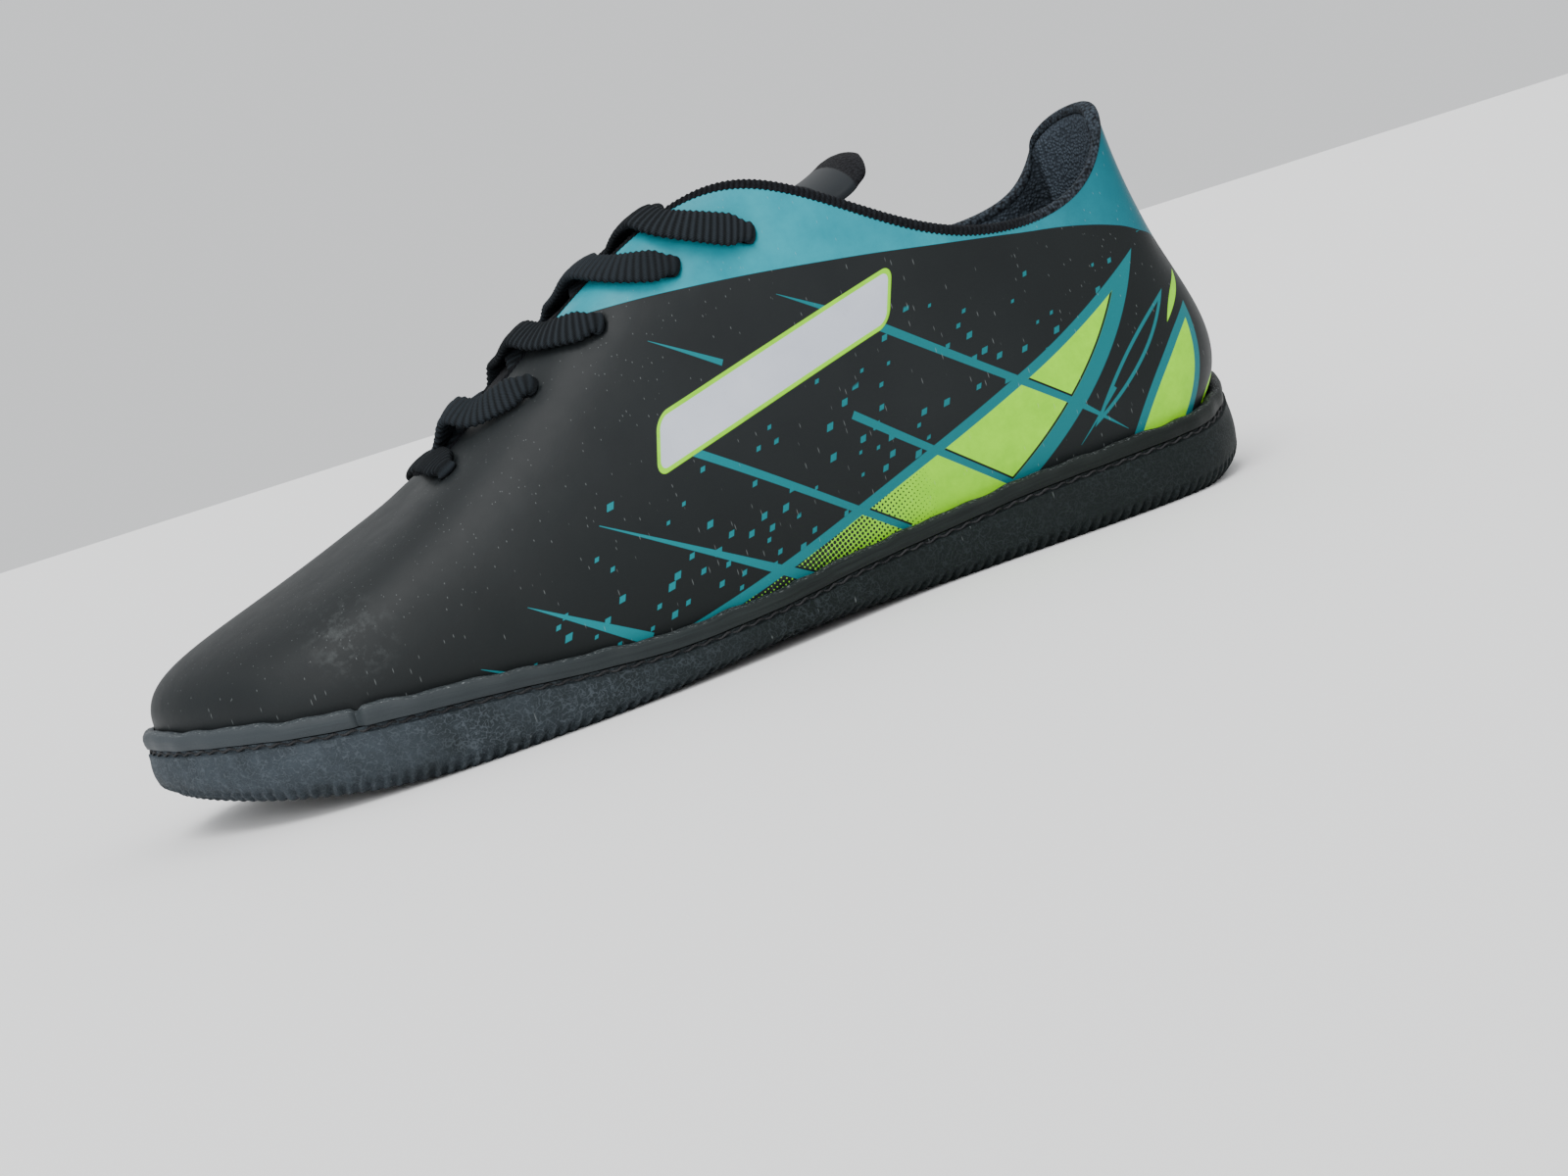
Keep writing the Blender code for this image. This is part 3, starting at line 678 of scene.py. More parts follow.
def printedSide(paint, place, spot, w, z, colour):
    # stripes, neon fields with their shadows and dots, leaves and rhombs over the ground colour
    plan, colours = printPlan, printColours
    left, right = arcEdge(paint, spot, *plan["bandLeft"]), arcEdge(paint, spot, *plan["bandRight"])
    stripes = stripeMask(w, z, crossStripes)
    blade = between(paint, spot, plan["bladeOuter"], plan["bladeInner"])
    leaf = between(paint, spot, plan["leafOuter"], plan["leafInner"])
    leafLine = (plan["leafLine"] - abs(leaf - plan["leafLine"])).soft()
    teal = stripes.most(left.least(right).soft()).most(blade.soft()).most(leafLine)
    teal = teal.most(specks(paint, w, z, left, plan))
    shade = paint.mix(w.ramp(-40.0, 60.0), colours["stripeTeal"], colours["deepTeal"])
    colour = paint.mix(teal, colour, shade)

    inRight = right - plan["rightBorder"]
    inner = (left - plan["leftBorder"]).least(inRight)
    lifted = paint.add("VectorMath", {"operation": "ADD"}, {0: spot, 1: plan["shadowShift"]})
    cast = stripeMask(*paint.parts(lifted)[:2], crossStripes[:plan["shadowStripes"]])
    shadow = (plan["shadowLine"] - inRight).soft().most(cast) * inner.soft()
    colour = paint.mix(shadow * (1.0 - stripes), colour, colours["shadow"])
    neon = inner.soft().most((blade - plan["bladeBorder"]).soft()) * (1.0 - stripes.most(shadow))
    for start, end, outSag, inSag in neonLeaves:
        neon = neon.most(between(paint, spot, (start, end, outSag), (end, start, inSag)).soft())
    dots = dotFade(w, z, plan)
    blotch = paint.noise(place, 0.16, 4.0, 0.7)
    neonColour = paint.mix(blotch.ramp(0.35, 0.65), colours["neon"], colours["deepNeon"])
    dotted = paint.mix(neon * dots, colour, colours["charcoal"])
    return paint.mix(neon * (1.0 - dots), dotted, neonColour), neonColour


def panelColour(paint, place, w):
    # pearly teal with painted sheen in lighter patches that fade towards the heel, darker round the heel
    colours = printColours
    pearl = paint.mix(w.ramp(50.0, 130.0), colours["teal"], colours["heelTeal"])
    sheen = paint.noise(place, 0.09, 4.0, 0.65).ramp(0.3, 0.75) * w.ramp(125.0, 60.0)
    return paint.mix(sheen, pearl, colours["sheenTeal"])


def makeUpperPaint():
    paint = Paint("printedSynthetic")
    plan, colours = printPlan, printColours
    place = paint.objectPlace()
    spot = paint.mark("print")
    w, z, _ = paint.parts(spot)

    mottle = paint.noise(place, 0.035, 3.0)
    colour = paint.mix(mottle.ramp(0.3, 0.7), colours["charcoal"], colours["paleCharcoal"])
    # painted shade: the low side towards the toe and the heel end are darkened towards near black
    low = z.ramp(*plan["lowShade"]) * w.ramp(*plan["vampShade"])
    colour = paint.mix(low.most(w.ramp(*plan["heelShade"])) * 0.85, colour, colours["paintedShadeBlack"])
    colour, neonColour = printedSide(paint, place, spot, w, z, colour)

    badge = badgeDepth(w, z, plan)
    colour = paint.mix(badge.soft(), colour, neonColour)
    grey = paint.mix(paint.noise(place, 0.05).ramp(0.3, 0.7), colours["grey"], colours["deepGrey"])
    colour = paint.mix((badge - plan["badgeEdge"]).soft(), colour, grey)

    start, reach = plan["panelStart"], plan["panelReach"]
    curve = [((x - start) / reach, height / 100.0) for x, height in plan["panelEdge"]]
    sockets = {"Factor": 1.0, "Value": w * (1 / reach) - start / reach}
    panel = (z - paint.add("FloatCurve", {"curve": curve}, sockets) * 100.0).soft()
    colour = paint.mix(panel, colour, panelColour(paint, place, w))

    streaks = paint.noise(place, 0.35, 4.0, 0.7).ramp(0.50, 0.75)
    smear = paint.distance(spot, plan["smearPlace"]).ramp(*plan["smearReach"]) * streaks * 0.17
    fluff = lint(paint, place, 0.45, 0.95) * 0.26
    colour = paint.mix(smear.most(fluff), colour, lintSizes["dust"])

    normal = paint.bump(paint.noise(place, 1.9, 2.0), 0.00006, 0.35)
    normal = paint.bump(paint.noise(place, 0.10, 2.0), 0.0006, 0.30, normal)
    normal = paint.bump(badge.soft(0.3) * 0.6 + panel * 0.4, 0.00025, 0.8, normal)
    roughness = 0.46 + paint.noise(place, 0.2, 3.0) * 0.10 - panel * 0.08 + smear * 0.8
    return paint.finish(colour, roughness, normal, 0.20)


# Dark and light colours of the plain finishes; for the rubber and the rim they include painted light and
# shade
finishColours = {
    "lining": ((0.0200, 0.0265, 0.0345), (0.0700, 0.0900, 0.1160)),
    "binding": ((0.001, 0.001, 0.002), (0.010, 0.012, 0.015)),
    "bindingAtHeel": (0.050, 0.066, 0.084),
    "rubber": ((0.0050, 0.0080, 0.0078), (0.040, 0.051, 0.062)),
    "rubberPatches": (0.0050, 0.0072, 0.0072),
    "rubberVeins": (0.075, 0.090, 0.104),
    "rim": ((0.004, 0.006, 0.006), (0.014, 0.019, 0.018)),
    "rimShadeAtHeel": (0.0015, 0.0034, 0.0026),
    "rimLightAtToe": (0.040, 0.048, 0.055),
    "rimFlecks": (0.32, 0.35, 0.35),
    "insole": ((0.008, 0.009, 0.010), (0.035, 0.037, 0.042)),
    "tongue": ((0.002, 0.002, 0.003), (0.012, 0.013, 0.016)),
    "tongueStrip": (0.0066, 0.0096, 0.0124),
    "thread": ((0.004, 0.004, 0.005), (0.022, 0.023, 0.026)),
    "lace": ((0.0018, 0.0024, 0.0030), (0.0165, 0.0215, 0.0265)),
}
# Where a finish, or its painted light and shade, changes along the shoe, in millimetres
finishPlaces = {
    "rolledLining": (86.0, 98.0),
    "paintedLightFalloff": (-135.0, 0.0),
    "veined": (30.0, -70.0),
    "rimPaintedShade": (10.0, 110.0),
    "tongueStrip": (44.5, 52.5),
}


def makeLiningPaint():
    # looped textile, with painted shade on the hollow side of the step where the padding ends
    paint = Paint("liningTextile")
    place = paint.objectPlace()
    height = paint.loops(place, 1.15)
    drift = paint.noise(place, 0.5, 2.0)
    colour = paint.mix(height * (0.65 + drift * 0.35), *finishColours["lining"])
    colour = paint.mix(lint(paint, place, 0.10, 0.8) * 0.20, colour, lintSizes["dust"])
    # painted shade: darker where the fold mark says the padding has ended
    colour = paint.scaled(colour, 1.0 - paint.parts(paint.mark("fold", 1.0))[0] * 0.45)
    return paint.finish(colour, 0.95, paint.bump(height, 0.00045, 0.9), 0.15)


def makeBraidPaint(name, pitch, colours, rolled=None):
    # ribs along the run of the piece, each of slanting threads; rolled is the lining's colour at the heel
    paint = Paint(name)
    place = paint.objectPlace()
    run, across, _ = paint.parts(paint.mark("run"))
    threads = (run * 0.6 + across).wave(0.42)
    height = run.wave(pitch) * 0.5 + threads * 0.35 + paint.noise(place, 3.0, 3.0, 0.7) * 0.5
    colour = paint.mix(height.ramp(0.35, 1.05), *colours)
    if rolled:
        nearHeel = paint.parts(place)[0].ramp(*finishPlaces["rolledLining"])
        colour = paint.mix(paint.loops(place, 1.15) * nearHeel, colour, rolled)
    return paint.finish(colour, 0.90, paint.bump(height, 0.00022, 0.8), 0.15)


def makeRubberPaint():
    # fine raised veins, clearest at the toe, over patchy rubber with painted light: paler at the toe,
    # darker towards the heel
    paint = Paint("soleRubber")
    place = paint.objectPlace()
    x = paint.parts(place)[0]
    coarse, fine = ((width - abs(paint.noise(place, scale, 1.0, 0.5) - 0.5)).soft(0.030)
                    for scale, width in ((0.62, 0.026), (1.10, 0.030)))
    patchy = paint.noise(place, 0.055, 3.0).ramp(0.36, 0.60)
    veined = x.ramp(*finishPlaces["veined"]) * 0.78 + 0.22
    network = coarse.most(fine * 0.7) * (0.45 + patchy * 0.55) * veined
    dark, light = finishColours["rubber"]
    # painted light: the rubber goes from a lit pale colour at the toe to its dark shaded colour towards the
    # heel
    colour = paint.mix(x.ramp(*finishPlaces["paintedLightFalloff"]), light, dark)
    patches = paint.noise(place, 0.12, 4.0, 0.65).ramp(0.35, 0.9)
    colour = paint.mix(patches, colour, finishColours["rubberPatches"])
    colour = paint.mix(network * 0.50, colour, finishColours["rubberVeins"])
    colour = paint.mix(lint(paint, place, 0.12) * 0.30, colour, lintSizes["dust"])
    normal = paint.bump(network, 0.00018, 0.7, paint.bump(paint.noise(place, 2.2, 3.0), 0.00010, 0.4))
    return paint.finish(colour, 0.60 + patchy * 0.12 - network * 0.08, normal, 0.13)


def makeRimPaint():
    # streaked rubber with pale flecks of glue along its top, and painted light and shade: darker towards
    # the heel, paler at the toe
    paint = Paint("rimRubber")
    place = paint.objectPlace()
    x = paint.parts(place)[0]
    run, across, _ = paint.parts(paint.mark("run"))
    streaks = paint.noise(paint.vector(run * 0.05, across * 1.4), 1.0, 4.0, 0.6)
    colour = paint.mix(streaks.ramp(0.3, 0.75), *finishColours["rim"])
    # painted shade towards the heel
    colour = paint.mix(x.ramp(*finishPlaces["rimPaintedShade"]) * 0.7, colour, finishColours["rimShadeAtHeel"])
    # painted light at the toe
    toeEnd, toeStart = finishPlaces["paintedLightFalloff"]
    colour = paint.mix(x.ramp(toeStart, toeEnd) * 0.8, colour, finishColours["rimLightAtToe"])
    top = paint.parts(paint.mark("top"))[0].ramp(0.25, 0.9)
    flecks = paint.noise(paint.vector(run * 0.5, across * 2.0), 1.7, 5.0, 0.75).ramp(0.55, 0.64)
    colour = paint.mix(flecks * top * 0.60, colour, finishColours["rimFlecks"])
    normal = paint.bump(streaks + paint.noise(place, 0.9, 3.0) * 0.5, 0.00025, 0.6)
    return paint.finish(colour, 0.46 + streaks * 0.15, normal, 0.17)


def makeInsolePaint():
    paint = Paint("insoleTextile")
    place = paint.objectPlace()
    x, y, _ = paint.parts(place)
    weave = x.sine(1.1) * y.sine(1.1) * 0.5 + 0.5
    drift = paint.noise(place, 0.12, 4.0)
    colour = paint.mix(weave * 0.5 + drift * 0.4, *finishColours["insole"])
    normal = paint.bump(weave + paint.noise(place, 2.5) * 0.5, 0.00015, 0.7)
    return paint.finish(colour, 0.95, normal, 0.15)


def makeTonguePaint():
    # knit, with a smooth folded strip across it below the tip
    paint = Paint("tongueKnit")
    place = paint.objectPlace()
    x = paint.parts(place)[0]
    height = paint.loops(place, 1.25, 0.7)
    start, end = finishPlaces["tongueStrip"]
    strip = (x - start).least(end - x).soft(0.5)
    colour = paint.mix(strip, paint.mix(height, *finishColours["tongue"]), finishColours["tongueStrip"])
    normal = paint.bump(height * (1.0 - strip) + strip * 0.8, 0.00035, 0.9)
    return paint.finish(colour, 0.9 - strip * 0.35, normal, 0.18)


def makeThreadPaint():
    paint = Paint("soleThread")
    run, across, _ = paint.parts(paint.mark("run"))
    twist = (run + across * 0.7).wave(0.5)
    colour = paint.mix(twist, *finishColours["thread"])
    normal = paint.bump(twist + paint.noise(paint.objectPlace(), 3.0) * 0.3, 0.00012, 0.8)
    return paint.finish(colour, 0.75, normal)


print("materials ready")

# The upper's printed shell. fadeIn and fadeOut are the shares where the hollows begin and end
shellSizes = {
    "columns": 576,
    "rows": 66,
    "skirtShares": (0.0, 0.425, 0.85),
    "thickness": 0.0012,
    "fadeIn": (0.0, 0.15),
    "fadeOut": (0.93, 1.0),
    "eyeletRadius": 0.0023,
    "eyeletDip": 0.0007,
    "eyeletSpread": 0.0050,
}
# Soft troughs: start and end along and up the shoe, depth and width in millimetres. A ridge is negative
hollows = [
    ((-72.0, 58.0), (-58.0, 30.0), 0.25, 8.0),
    ((-62.0, 52.0), (-46.0, 26.0), -0.20, 7.0),
    ((-46.0, 64.0), (-30.0, 44.0), 0.28, 7.0),
    ((-28.0, 71.0), (-12.0, 50.0), 0.25, 7.0),
    ((-10.0, 79.0), (8.0, 62.0), 0.22, 7.0),
    ((88.0, 66.0), (64.0, 60.0), 0.35, 7.0),
    ((40.0, 70.0), (70.0, 40.0), 0.30, 12.0),
    ((128.0, 58.0), (118.0, 40.0), 0.35, 6.0),
]


def hollowDepth(w, z):
    depth = np.zeros(np.shape(w))
    for start, end, deep, wide in hollows:
        run = np.array(end) - np.array(start)
        share = np.clip(((w - start[0]) * run[0] + (z - start[1]) * run[1]) / (run @ run), 0.0, 1.0)
        away = np.hypot(w - start[0] - share * run[0], z - start[1] - share * run[1])
        depth += deep * np.exp(-(away / wide) ** 2)
    return depth


def eyeletPlace(index, side):
    rib, share = eyelets[index]
    u = np.array([rib if side < 0 else loopLength - rib])
    v = np.array([share])
    return Vector(upperFace(u, v)[0]), Vector(faceNormals(u, v)[0])


eyeletPlaces = [eyeletPlace(index, side) for index in range(len(eyelets)) for side in (-1, 1)]


def eyeletDips(spots):
    dip = np.zeros(spots.shape[:-1])
    for point, _ in eyeletPlaces:
        away = np.linalg.norm(spots - np.array(point), axis=-1)
        dip += shellSizes["eyeletDip"] * np.exp(-(away / shellSizes["eyeletSpread"]) ** 2)
    return dip


def punch(bm, radius):
    # opens a round hole at each eyelet and rounds its rim
    for point, normal in eyeletPlaces:
        near = []
        for face in bm.faces:
            offset = face.calc_center_median() - point
            if offset.length < 3 * radius and (offset - normal * offset.dot(normal)).length < radius:
                near.append(face)
        rim = {vert for face in near for vert in face.verts}
        bmesh.ops.delete(bm, geom=near, context="FACES")
        for vert in rim:
            if vert.is_valid and vert.link_faces:
                offset = vert.co - point
                level = normal * offset.dot(normal)
                vert.co = point + level + (offset - level).normalized() * radius


def makeShell(material, sizes):
    u = aroundShoe(sizes["columns"])
    uGrid, vGrid = np.meshgrid(u, np.linspace(0.0, 1.0, sizes["rows"] + 1))
    spots = upperFace(uGrid, vGrid)
    w = wrapAt(uGrid, vGrid)
    depth = hollowDepth(w * 1000, spots[..., 2] * 1000) / 1000 * ease(vGrid, *sizes["fadeIn"])
    depth = depth * (1 - ease(vGrid, *sizes["fadeOut"])) + eyeletDips(spots)
    spots = spots - faceNormals(uGrid, vGrid) * depth[..., None]
    last = lastAt(u)
    inset = lastSizes["cupWall"] + lastSizes["gap"]
    low, deep = last["floor"] + lastSizes["gap"], last["top"] - last["floor"]
    skirt = [ringAt(last, inset, low + deep * share) for share in sizes["skirtShares"]]
    spots = np.concatenate([skirt, spots])
    w = np.concatenate([[w[0]] * len(skirt), w])
    bm = drapeGrid(spots, {"print": np.stack([w, spots[..., 2], 0 * w], -1)})
    punch(bm, sizes["eyeletRadius"])
    shell = addPiece("upper_shell", bm, material)
    thicken(shell, sizes["thickness"], -1.0)
    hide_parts("upper")
    return treeOf(spots)


# The fold is a step where the padding ends, on the inner side of the heel: ribs, and shares of the way up
liningSizes = {
    "columns": 432,
    "rows": 50,
    "topShare": 0.985,
    "thickness": 0.0006,
    "skirtLift": 0.001,
    "foldPlace": 17.10,
    "foldWidth": 0.13,
    "foldDepth": 0.0026,
    "foldReach": (15.6, 16.6),
    "foldLow": (0.45, 0.75),
    "foldHigh": (0.84, 0.99),
}


def makeLining(material, sizes):
    u = aroundShoe(sizes["columns"])
    uGrid, vGrid = np.meshgrid(u, np.linspace(0.0, sizes["topShare"], sizes["rows"] + 1))
    face = upperFace(uGrid, vGrid)
    step = ease(sizes["foldPlace"] - uGrid, -sizes["foldWidth"], sizes["foldWidth"])
    hollow = step * ease(uGrid, *sizes["foldReach"]) * ease(vGrid, *sizes["foldLow"])
    fold = hollow * (1 - ease(vGrid, *sizes["foldHigh"])) * sizes["foldDepth"]
    depth = wallAt(uGrid, vGrid) + eyeletDips(face) - fold
    spots = face - faceNormals(uGrid, vGrid) * depth[..., None]
    last = lastAt(u)
    inset = lastSizes["cupWall"] + lastSizes["gap"] + lastSizes["wall"]
    spots[0] = ringAt(last, inset, last["top"])
    spots = np.concatenate([[ringAt(last, inset, last["floor"] + sizes["skirtLift"])], spots])
    # the fold's hollow side, kept as a mark for the lining's painted shade
    folds = np.concatenate([hollow[:1], hollow])
    bm = drapeGrid(spots, {"fold": np.repeat(folds[..., None], 3, 2)})
    punch(bm, shellSizes["eyeletRadius"])
    lining = addPiece("upper_lining", bm, material)
    thicken(lining, sizes["thickness"], 1.0)
    return treeOf(spots)


bindingSizes = {
    "columns": 1800,
    "around": 16,
    "spare": 0.00035,
    "halfHeight": 0.0014,
    "proud": 0.0008,
    "squareness": 0.65,
    "ribPitch": 0.00125,
    "ribDepth": 0.00013,
    "ribFade": (0.088, 0.100),
    "belowEdge": 0.97,
}


def makeBinding(material, sizes):
    # knit tape folded over the edge of collar and throat
    u = aroundShoe(sizes["columns"])
    one = np.ones(len(u))
    edge = upperFace(u, one)
    normal = faceNormals(u, one)
    up = unit(edge - upperFace(u, one * sizes["belowEdge"]))
    wall = wallAt(u, one)
    run = runsOf(edge)
    ribs = np.cos(2 * math.pi * run / sizes["ribPitch"]) * sizes["ribDepth"]
    ribs = ribs * (1 - ease(edge[:, 0], *sizes["ribFade"]))
    middle = edge - normal * wall[:, None] / 2 - up * (sizes["halfHeight"] - sizes["proud"])
    side = normal * (wall / 2 + sizes["spare"] + ribs)[:, None]
    rise = up * (sizes["halfHeight"] + ribs)[:, None]
    section = squarish(sizes["around"], sizes["squareness"], sizes["squareness"])
    bm = tubeGrid(middle, side, rise, section, run, section[:, 0] * sizes["halfHeight"])
    addPiece("edge_binding", bm, material)


print("upper next")
upperPaint = makeUpperPaint()
liningPaint = makeLiningPaint()
bindingPaint = makeBraidPaint("bindingKnit", 1.25, finishColours["binding"], finishColours["bindingAtHeel"])
shellTree = makeShell(upperPaint, shellSizes)
liningTree = makeLining(liningPaint, liningSizes)
makeBinding(bindingPaint, bindingSizes)
print("upper made")

tongueSizes = {
    "stations": 96,
    "around": 44,
    "thickness": 0.0042,
    "crown": 0.0056,
    "clearance": 0.0026,
    "flankPower": 0.8,
    "facePower": 0.5,
    "steepest": 0.3,
    "tipRound": 0.05,
}
# Tongue rows: x as a share of the length, crown of the instep's height, half width of the ball's
tongueRows = [
    (-0.275, 0.480, 0.110), (-0.225, 0.560, 0.140), (-0.140, 0.745, 0.175), (-0.060, 0.865, 0.205),
    (0.010, 0.930, 0.230), (0.070, 0.960, 0.242), (0.115, 0.962, 0.240), (0.160, 0.968, 0.240),
    (0.190, 0.995, 0.235), (0.206, 1.018, 0.200), (0.213, 1.026, 0.130),
]
tongueShares, tongueCrowns, tongueHalves = (np.array(column) for column in zip(*tongueRows))


def tongueTop(x, y, sizes):
    # height of the tongue's upper face, clear of the lining over it
    bend = sizes["crown"] / (tongueHalves.max() * lastSizes["ballWidth"]) ** 2
    crown = float(smoothTable(x / lastSizes["soleLength"], tongueShares, tongueCrowns))
    height = crown * lastSizes["instepHeight"] - bend * y * y
    start = Vector((x, y, lastSizes["instepHeight"] / 3))
    point, normal, _, _ = liningTree.ray_cast(start, Vector((0, 0, 1)))
    if point is not None:
        height = min(height, point.z - sizes["clearance"] / max(abs(normal.z), sizes["steepest"]))
    return height


def makeTongue(material, sizes):
    bends = np.linspace(0.0, math.pi, sizes["stations"] + 1)
    section = squarish(sizes["around"], sizes["flankPower"], sizes["facePower"])
    first, last = tongueShares[0], tongueShares[-1]
    rows = []
    for share in first + (last - first) * (1 - np.cos(bends)) / 2:
        x = share * lastSizes["soleLength"]
        half = float(smoothTable(share, tongueShares, tongueHalves)) * lastSizes["ballWidth"]
        ends = min(share - first, last - share) * lastSizes["soleLength"]
        thick = sizes["thickness"] * math.sqrt(min(1.0, ends / sizes["thickness"] + sizes["tipRound"]))
        row = []
        for _, wide, high in section:
            middle = tongueTop(x, half * wide, sizes) - sizes["thickness"] / 2
            row.append((x, half * wide, middle + thick / 2 * high))
        rows.append(row)
    spots = np.array(rows)
    bm = drapeGrid(spots)
    closeEnds(bm)
    tongue = addPiece("tongue_padded", bm, material)
    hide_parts("tongue")
    return treeOf(spots)


insoleSizes = {
    "columns": 150,
    "across": 40,
    "thickness": 0.0034,
    "edgeLift": 0.0016,
    "edgePower": 6,
    "heelDish": 0.0006,
    "dishPlace": (0.05, 0.10),
}


def makeInsole(material, sizes):
    u = np.linspace(0.0, toeRib, sizes["columns"] + 1)
    inset = lastSizes["cupWall"] + lastSizes["wall"] + 3 * lastSizes["gap"]
    low = lastAt(u)["floor"] + lastSizes["gap"]
    outer, inner = (ringAt(lastAt(side), inset, low) for side in (u, loopLength - u))
    rows = []
    for share in np.linspace(0.0, 1.0, sizes["across"] + 1):
        row = outer * (1 - share) + inner * share
        rim = abs(2 * share - 1) ** sizes["edgePower"]
        dish = (1 - rim) * ease(row[:, 0], *sizes["dishPlace"])
        row[:, 2] += sizes["edgeLift"] * rim + sizes["heelDish"] * (1 - dish)
        rows.append(row)
    bm = drapeGrid(rows)
    if sum(face.normal.z for face in bm.faces) < 0:
        bmesh.ops.reverse_faces(bm, faces=bm.faces)
    insole = addPiece("insole_sheet", bm, material)
    thicken(insole, sizes["thickness"], 1.0)
    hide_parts("insole")


tongueTree = makeTongue(makeTonguePaint(), tongueSizes)
makeInsole(makeInsolePaint(), insoleSizes)
print("tongue and insole made")

# Pairs of shares are where a form comes in or fades, on the way from the sole's edge to its middle
outsoleSizes = {
    "columns": 1260,
    "wallRows": 14,
    "wallRowPower": 1.15,
    "floorRows": (1.0, 0.6, 0.3, 0.0),
    "bottomRows": 22,
    "rounding": 0.0030,
    "seamHeight": 0.0013,
    "seamDepth": 0.0010,
    "seamSlope": 0.0003,
    "ribPitch": 0.0028,
    "ribDepth": 0.0013,
    "ribTop": 0.27,
    "ribFull": 0.7,
    "ribSlant": 0.0016,
    "ribSharpness": 2.4,
    "ribsOnEdge": (0.05, 0.16),
    "treadDepth": 0.0016,
    "treadSharpness": 1.4,
    "treadShares": (0.10, 0.25),
    "treadWave": 0.0030,
    "treadWaveLength": 0.0160,
    "treadWaveShares": (0.15, 0.35),
    "spineShare": 0.86,
}
# Side of the sole from the floor up: (share of the height, share of the rounding)
sideProfile = [(0.00, 1.00), (0.12, 0.40), (0.36, 0.07), (0.64, 0.00), (0.90, 0.10)]


def groove(run, pitch, sharpness):
    # 0 on a rib and 1 in the groove beside it
    return np.clip(0.5 + sharpness * np.cos(2 * math.pi * run / pitch), 0.0, 1.0)


def makeOutsole(material, sizes):
    u = aroundShoe(sizes["columns"])
    last = lastAt(u)
    run = outlineRuns(u, sizes["ribPitch"])
    ribs = groove(run, sizes["ribPitch"], sizes["treadSharpness"])
    seamLow = last["seam"] - sizes["seamHeight"]
    wall = seamLow - last["low"]
    heights, insets = zip(*sideProfile)
    lip = insets[-1] * sizes["rounding"]
    farY = lastAt(loopLength - u)["plan"][:, 1]
    spine = np.stack([last["plan"][:, 0], (last["plan"][:, 1] + farY) / 2], 1) * sizes["spineShare"]

    def acrossTo(ring, share):
        return ring[:, :2] * (1 - share) + spine * share

    rings = []
    inside = ringAt(last, lastSizes["cupWall"], last["floor"])
    for share in sizes["floorRows"]:
        flatRing = acrossTo(inside, share)
        rings.append(np.column_stack([flatRing, underside(flatRing[:, 0]) + last["floor"] - last["low"]]))
    rings.append(ringAt(last, lastSizes["cupWall"], last["seam"]))
    rings.append(ringAt(last, lip + sizes["seamDepth"], last["seam"]))
    rings.append(ringAt(last, lip + sizes["seamDepth"], seamLow + sizes["seamSlope"]))
    rings.append(ringAt(last, lip, seamLow))
    for height in np.linspace(heights[-1], 0.0, sizes["wallRows"]) ** sizes["wallRowPower"]:
        slanted = run + sizes["ribSlant"] * height / sizes["ribTop"]
        notch = groove(slanted, sizes["ribPitch"], sizes["ribSharpness"]) * sizes["ribDepth"]
        notch = notch * (1 - ease(height, sizes["ribTop"] * sizes["ribFull"], sizes["ribTop"]))
        inset = smoothTable(height, heights, insets) * sizes["rounding"] + notch
        rings.append(ringAt(last, inset, last["low"] + wall * height))
    edge = rings[-1]
    for share in np.linspace(0.0, 1.0, sizes["bottomRows"] + 1)[1:]:
        spot = acrossTo(edge, share)
        swing = sizes["treadWave"] * np.cos(2 * math.pi * spot[:, 1] / sizes["treadWaveLength"])
        place = spot[:, 0] + swing * ease(share, *sizes["treadWaveShares"])
        tread = groove(place, sizes["ribPitch"], sizes["treadSharpness"])
        tread = tread * ease(share, *sizes["treadShares"])
        side = ribs * (1 - ease(share, *sizes["ribsOnEdge"]))
        z = underside(spot[:, 0]) + sizes["treadDepth"] * np.maximum(tread, side)
        rings.append(np.column_stack([spot, z]))
    outsole = addPiece("outsole_rubber", drapeGrid(rings), material, 50.0)
    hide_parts("outsole")


# The joint is a slit with one end of the strip standing proud. Waves: how many go round, and their phase
rimSizes = {
    "columns": 1200,
    "joint": 7.53,
    "jointGap": 0.0008,
    "jointDepth": 0.0014,
    "jointStep": 0.0008,
    "stepFade": 0.030,
    "stepLift": 0.6,
    "slitDrop": 0.8,
    "outerShares": (0.55, 0.95),
    "upperShares": (0.2, 1.0),
    "topInsets": (0.3, 0.95),
    "uneven": 0.00012,
    "waves": ((23, 0.0), (41, 1.3), (67, 0.4)),
    "sectionRun": 0.0035,
}
# Section of the rim strip: (share of the cup's wall, share of its height)
rimProfile = [(0.22, 0.0), (0.15, 0.25), (0.14, 0.55), (0.22, 0.80), (0.36, 0.94), (0.58, 1.01),
              (0.82, 1.0), (1.0, 0.94), (1.0, 0.5), (1.0, 0.0), (0.6, 0.0), (0.22, 0.0)]


